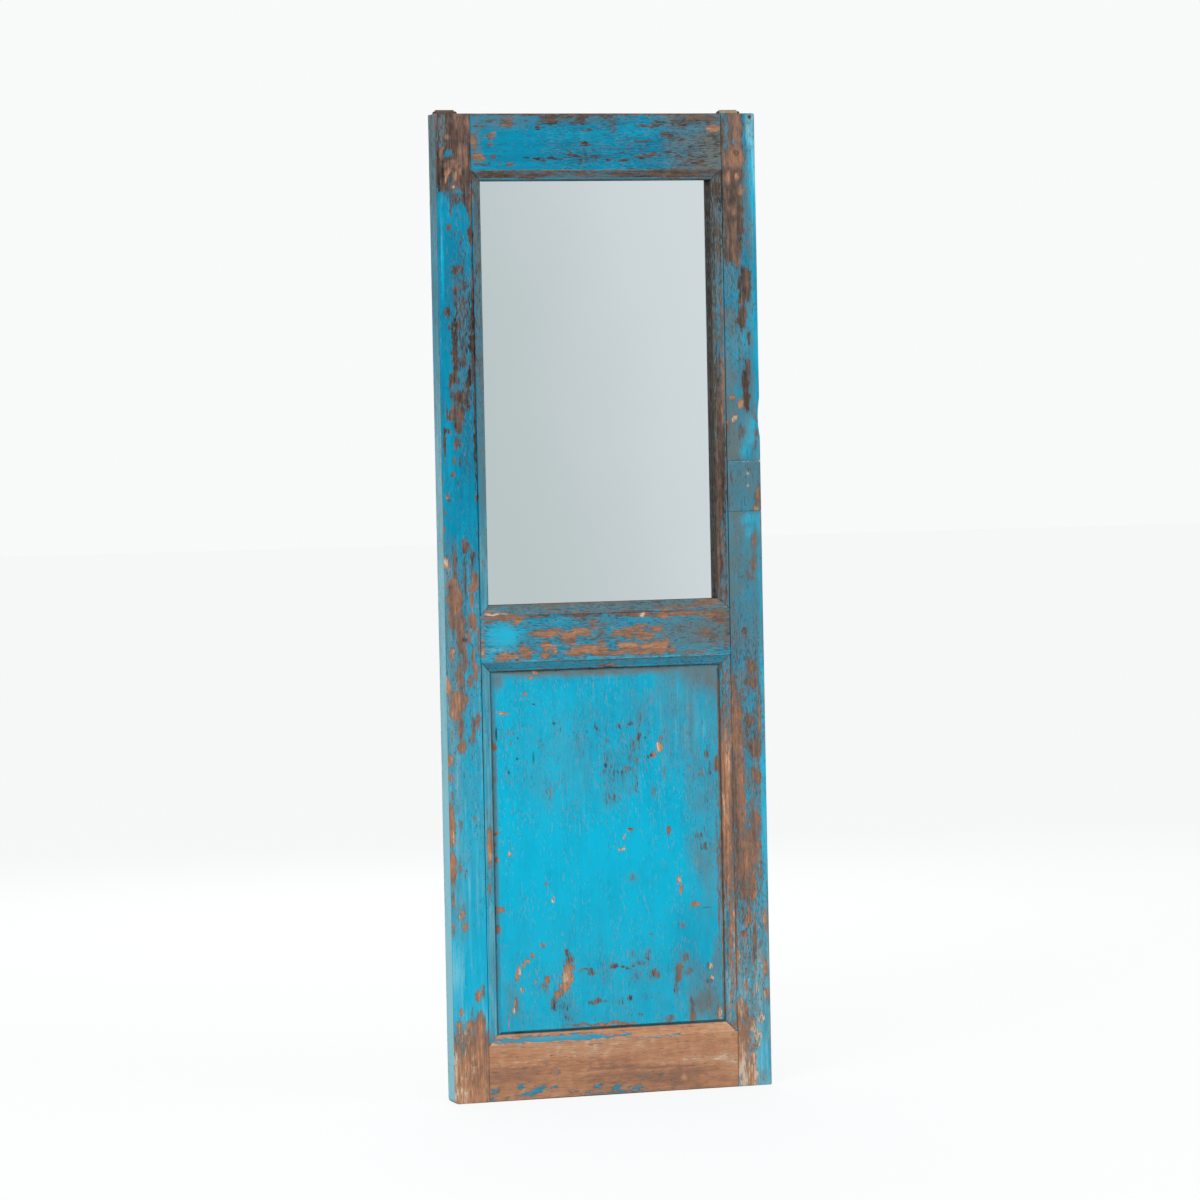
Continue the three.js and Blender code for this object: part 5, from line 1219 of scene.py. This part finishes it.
nailPiece("edge_nail", "timber", (-1, 0, 0))
nailPiece("corner_nail", "timber", (0, -1, 0), 25)
for node in ("patch_nail_lower", "patch_nail_upper"):
    nailPiece(node, "timber", (0, -1, 0), 26, paintedIron)
beadNails = (("top", 2, (0, 0, -1)), ("bottom", 2, (0, 0, 1)), ("left", 3, (1, 0, 0)), ("right", 3, (-1, 0, 0)))
for name, count, direction in beadNails:
    for at in range(count):
        nailPiece(f"bead_nail_{name}_{at + 1}", "bead", direction)
print("nails made")


# Pegs, trimmed flush and painted over with the stiles

pegs = {
    "radius": 4.5,
    "taper": 0.3,
    "length": 40,
    "soften": 0.35,
    "sides": 24,
    "tones": {"top": 0.24, "middle": 0.24, "bottom": 0.62},
}

wide, thin, soft, long = pegs["radius"], pegs["radius"] - pegs["taper"], pegs["soften"], pegs["length"]
profile = [
    (wide * 0.5, -0.15), (wide - soft, 0.0), (wide, soft),
    (thin, long - soft), (thin - soft, long), (thin * 0.5, long + 0.1),
]
for railName in ("top", "middle", "bottom"):
    for side, neighbour in (("left", leftStile), ("right", rightStile)):
        node = f"peg_{railName}_{side}"
        centre = middleOf(node)
        piece = turnedPiece(profile, pegs["sides"], (centre.x, leaf["front"], centre.z), (0, -1, 0))
        select(piece)
        bpy.ops.object.transform_apply(location=True, rotation=True, scale=True)
        x, t = centre.x + leaf["width"] / 2, leaf["height"] - centre.z
        bare = (x, t, 5, 5, 0.9, pegs["tones"][railName])
        paintWear(piece, dict(neighbour, worn=(*neighbour["worn"], bare), side={}))
        timberPaint = bpy.data.materials[neighbour["node"] + " paint"]
        finish(piece, node + "_oak", timberPaint, nodes=[node])
print("pegs made")


# Mirror: silvered on its back, seen here as one bright front

mirror = {
    "chamfer": 0.0006,
    # low and high are the darker and lighter ends of a reflection painted into the silver's colour
    "low": (0.70, 0.765, 0.755),
    "high": (0.90, 0.945, 0.955),
    "roughness": (0.02, 0.04),
    "backPaint": (0.19, 0.20, 0.21),
    "edge": (0.05, 0.12, 0.10),
}

silver, tree, place = newMaterial("silvered glass")
axes = addNode(tree, "ShaderNodeSeparateXYZ", {0: place}).outputs
# the silver's colour is painted lighter to the right and upward with a faint cloud: a painted reflection
reflectionSlope = calculate(tree, "ADD", calculate(tree, "MULTIPLY", axes["X"], 1.9), calculate(tree, "MULTIPLY", axes["Z"], 0.45))
reflectionHaze = centred(tree, noiseAt(tree, place, 3.5, 1, 2, 0.5), 0.25)
paintedReflection = rampUp(tree, calculate(tree, "ADD", reflectionSlope, reflectionHaze), 0.05, 0.95)
smears = rampUp(tree, noiseAt(tree, place, 14, 0.4, 4, 0.6), 0.45, 0.75, *mirror["roughness"])
fillSockets(tree, tree.nodes["Principled BSDF"], {
    "Base Color": blendColours(tree, paintedReflection, mirror["low"], mirror["high"]),
    "Metallic": 1.0,
    "Roughness": smears,
})


def paintedBack(name, colour):
    material, tree, place = newMaterial(name)
    mottle = rampUp(tree, noiseAt(tree, place, 90, 1, 4, 0.6), 0.3, 0.7, 0.75, 1.1)
    fillSockets(tree, tree.nodes["Principled BSDF"], {
        "Base Color": blendColours(tree, mottle, tuple(0.6 * part for part in colour), colour),
        "Roughness": 0.55,
        "Normal": relief(tree, noiseAt(tree, place, 700), 0.2, 0.0001),
    })
    return material


piece = copyOfNode("mirror_glass", "mirror_sheet")
bpy.ops.object.mode_set(mode="EDIT")
bpy.ops.mesh.select_all(action="SELECT")
bpy.ops.mesh.dissolve_limited(angle_limit=radians(1))
bpy.ops.mesh.select_all(action="SELECT")
bpy.ops.mesh.bevel(offset=mirror["chamfer"], segments=1)
bpy.ops.object.mode_set(mode="OBJECT")
backPaint = paintedBack("mirror backing paint", mirror["backPaint"])
edgePaint = paintedBack("glass edge", mirror["edge"])
for material in (backPaint, silver, edgePaint):
    piece.data.materials.append(material)
for face in piece.data.polygons:
    face.material_index = 1 if face.normal.y < -0.9 else 0 if face.normal.y > 0.9 else 2
finish(piece, "mirror_sheet", None, nodes=["mirror_glass"])
print("mirror made")


# Board and beads behind it

board = {
    "light": (0.300, 0.165, 0.082),
    "dark": (0.150, 0.078, 0.038),
    "stain": (0.090, 0.050, 0.028),
    "pine": ((0.0, (0.330, 0.170, 0.070)), (0.45, (0.560, 0.340, 0.160)), (1.0, (0.700, 0.480, 0.260))),
    "relief": (0.35, 0.0003),
    "bevel": 0.0005,
}

hardboard, tree, place = newMaterial("hardboard")
fibres = noiseAt(tree, place, 520, 1, 4, 0.7, 1.2)
clouds = noiseAt(tree, place, 12, 1, 4, 0.6)
stains = useGroup(tree, filmGroup, {"Vector": place, "Amount": 0.15, "Scale": 9.0})["Mask"]
colour = blendColours(tree, rampUp(tree, clouds, 0.0, 0.8), board["dark"], board["light"])
colour = blendColours(tree, rampUp(tree, fibres, 0.4, 0.7, 0.0, 0.5), colour, board["light"])
fillSockets(tree, tree.nodes["Principled BSDF"], {
    "Base Color": coat(tree, stains, 0.6, colour, board["stain"]),
    "Roughness": 0.8,
    "Normal": relief(tree, fibres, *board["relief"]),
})


def pineMaterial(name, grain):
    material, tree, place = newMaterial(name)
    along = alongGrain(tree, place, grain)
    fibre = useGroup(tree, woodFibre, {"Vector": along})["Fibre"]
    rings = calculate(tree, "MULTIPLY", noiseAt(tree, along, 160, 0.02, 2, 0.4, 0.6), 0.9)
    tone = calculate(tree, "ADD", rings, calculate(tree, "MULTIPLY", fibre, 0.25))
    colour = colourRamp(tree, rampUp(tree, tone, 0.35, 0.85), board["pine"])
    grime = useGroup(tree, filmGroup, {"Vector": place, "Amount": 0.2, "Scale": 40.0})["Mask"]
    fillSockets(tree, tree.nodes["Principled BSDF"], {
        "Base Color": coat(tree, grime, 0.5, colour, board["stain"]),
        "Roughness": 0.7,
        "Normal": relief(tree, fibre, *board["relief"]),
    })
    return material


piece = copyOfNode("backing_board", "backing_sheet")
apply(piece, "BEVEL", width=board["bevel"], segments=2, limit_method="ANGLE")
finish(piece, "backing_sheet", hardboard, nodes=["backing_board"])

for grain, names in (("across", ("top", "bottom")), ("up", ("left", "right"))):
    pine = pineMaterial("pine " + grain, grain)
    for name in names:
        piece = copyOfNode("bead_" + name, "bead")
        apply(piece, "BEVEL", width=board["bevel"], segments=2, limit_method="ANGLE", angle_limit=radians(40))
        finish(piece, f"bead_{name}_pine", pine, nodes=["bead_" + name])
print("board and beads made")


# Strap hangers: a strip spun round its eye, thickened, rounded and drilled, in millimetres;
# a screw's pair is its drop and the turn of its slot

hanger = {
    "inset": 28,
    "width": 29,
    "sheet": 1.6,
    "drop": 51,
    "eye": {"depth": 44.0, "height": 1504.6, "radius": 2.9, "turn": 245, "steps": 28},
    "corner": 6,
    "bevel": 0.25,
    "screws": {"upper": (15, 25), "lower": (38, -50)},
    "screw": {"head": 3.6, "tall": 1.5, "shank": 1.8, "length": 13.5, "slot": (0.9, 0.7)},
}

strapLooks = {
    "left": {
        "rust": 0.45, "dark": (0.050, 0.042, 0.026), "metal": (0.150, 0.120, 0.075), "rustDark": (0.055, 0.030, 0.018),
        "rustLight": (0.170, 0.090, 0.045), "metallic": 0.35, "roughness": 0.5,
    },
    "right": {
        "rust": 0.25, "dark": (0.300, 0.230, 0.160), "metal": (0.560, 0.440, 0.330), "rustDark": (0.200, 0.110, 0.060),
        "rustLight": (0.420, 0.260, 0.140), "metallic": 0.3, "roughness": 0.5,
    },
}


def strapPiece(side, sign):
    size, eye = hanger, hanger["eye"]
    middle = sign * (leaf["width"] / 2 - size["inset"])
    back = leaf["front"] + eye["depth"] - eye["radius"]
    low, high = leaf["height"] - size["drop"], eye["height"]
    bpy.ops.object.select_all(action="DESELECT")
    bpy.ops.mesh.primitive_plane_add(size=1)
    piece = bpy.context.object
    piece.location = (middle / 1000, back / 1000, (low + high) / 2000)
    piece.rotation_euler = (radians(90), 0, 0)
    piece.scale = (size["width"] / 1000, (high - low) / 1000, 1)
    bpy.ops.object.transform_apply(location=True, rotation=True, scale=True)
    bpy.ops.object.mode_set(mode="EDIT")
    bpy.ops.mesh.select_mode(type="VERT")
    bpy.ops.mesh.select_all(action="DESELECT")
    bpy.ops.object.mode_set(mode="OBJECT")
    for vertex in piece.data.vertices:
        vertex.select = vertex.co.z > (high - 1) / 1000
    bpy.ops.object.mode_set(mode="EDIT")
    centre = (middle / 1000, (leaf["front"] + eye["depth"]) / 1000, eye["height"] / 1000)
    bpy.ops.mesh.spin(steps=eye["steps"], angle=radians(-eye["turn"]), center=centre, axis=(1, 0, 0))
    bpy.ops.mesh.select_all(action="DESELECT")
    bpy.ops.object.mode_set(mode="OBJECT")
    for vertex in piece.data.vertices:
        vertex.select = vertex.co.z < (low + 1) / 1000
    bpy.ops.object.mode_set(mode="EDIT")
    bpy.ops.mesh.bevel(offset=size["corner"] / 1000, segments=6, affect="VERTICES")
    bpy.ops.object.mode_set(mode="OBJECT")
    apply(piece, "SOLIDIFY", thickness=size["sheet"] / 1000, offset=0)
    head, shank, tall = (size["screw"][part] for part in ("head", "shank", "tall"))
    hole = [(head + 1.3, -1), (head + 0.3, 0), (shank + 0.3, tall + 0.3), (shank + 0.3, 5)]
    for drop, _ in size["screws"].values():
        top = (middle, back + size["sheet"] / 2, leaf["height"] - drop)
        cutter = turnedPiece(hole, 24, top, (0, 1, 0))
        apply(piece, "BOOLEAN", object=cutter, operation="DIFFERENCE", solver="EXACT")
        bpy.data.objects.remove(cutter)
    apply(piece, "BEVEL", width=size["bevel"] / 1000, segments=2, limit_method="ANGLE", angle_limit=radians(45))
    steel = ironMaterial("strap steel " + side, strapLooks[side])
    node = "hanger_strap_" + side
    finish(piece, node + "_rolled", steel, nodes=[node], angle=40)


def screwPiece(side, sign, name):
    node = f"hanger_screw_{side}_{name}"
    drop, turn = hanger["screws"][name]
    size = hanger["screw"]
    middle = sign * (leaf["width"] / 2 - hanger["inset"])
    top = (middle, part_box(node)[1].y * 1000, leaf["height"] - drop)
    head, shank, tall, length = size["head"], size["shank"], size["tall"], size["length"]
    profile = [
        (head * 0.5, -0.28), (head * 0.85, -0.12), (head * 0.98, 0.0), (head, 0.1),
        (shank, tall), (shank, length - 5), (shank * 0.2, length),
    ]
    piece = turnedPiece(profile, 24, top, (0, 1, 0))
    wide, deep = size["slot"]
    bpy.ops.object.select_all(action="DESELECT")
    bpy.ops.mesh.primitive_cube_add(size=1, location=Vector(top) / 1000, rotation=(0, radians(turn), 0))
    cutter = bpy.context.object
    cutter.scale = (3 * head / 1000, 2 * deep / 1000, wide / 1000)
    apply(piece, "BOOLEAN", object=cutter, operation="DIFFERENCE", solver="EXACT")
    bpy.data.objects.remove(cutter)
    finish(piece, node + "_slotted", rustyIron, nodes=[node])


for side, sign in (("left", -1), ("right", 1)):
    strapPiece(side, sign)
    for name in hanger["screws"]:
        screwPiece(side, sign, name)
    node = "hanger_ring_" + side
    ring = copyOfNode(node, "ring")
    apply(ring, "SUBSURF", levels=2, render_levels=2)
    finish(ring, node + "_wire", rustyIron, body="ring_" + side, nodes=[node])
print("hangers made")
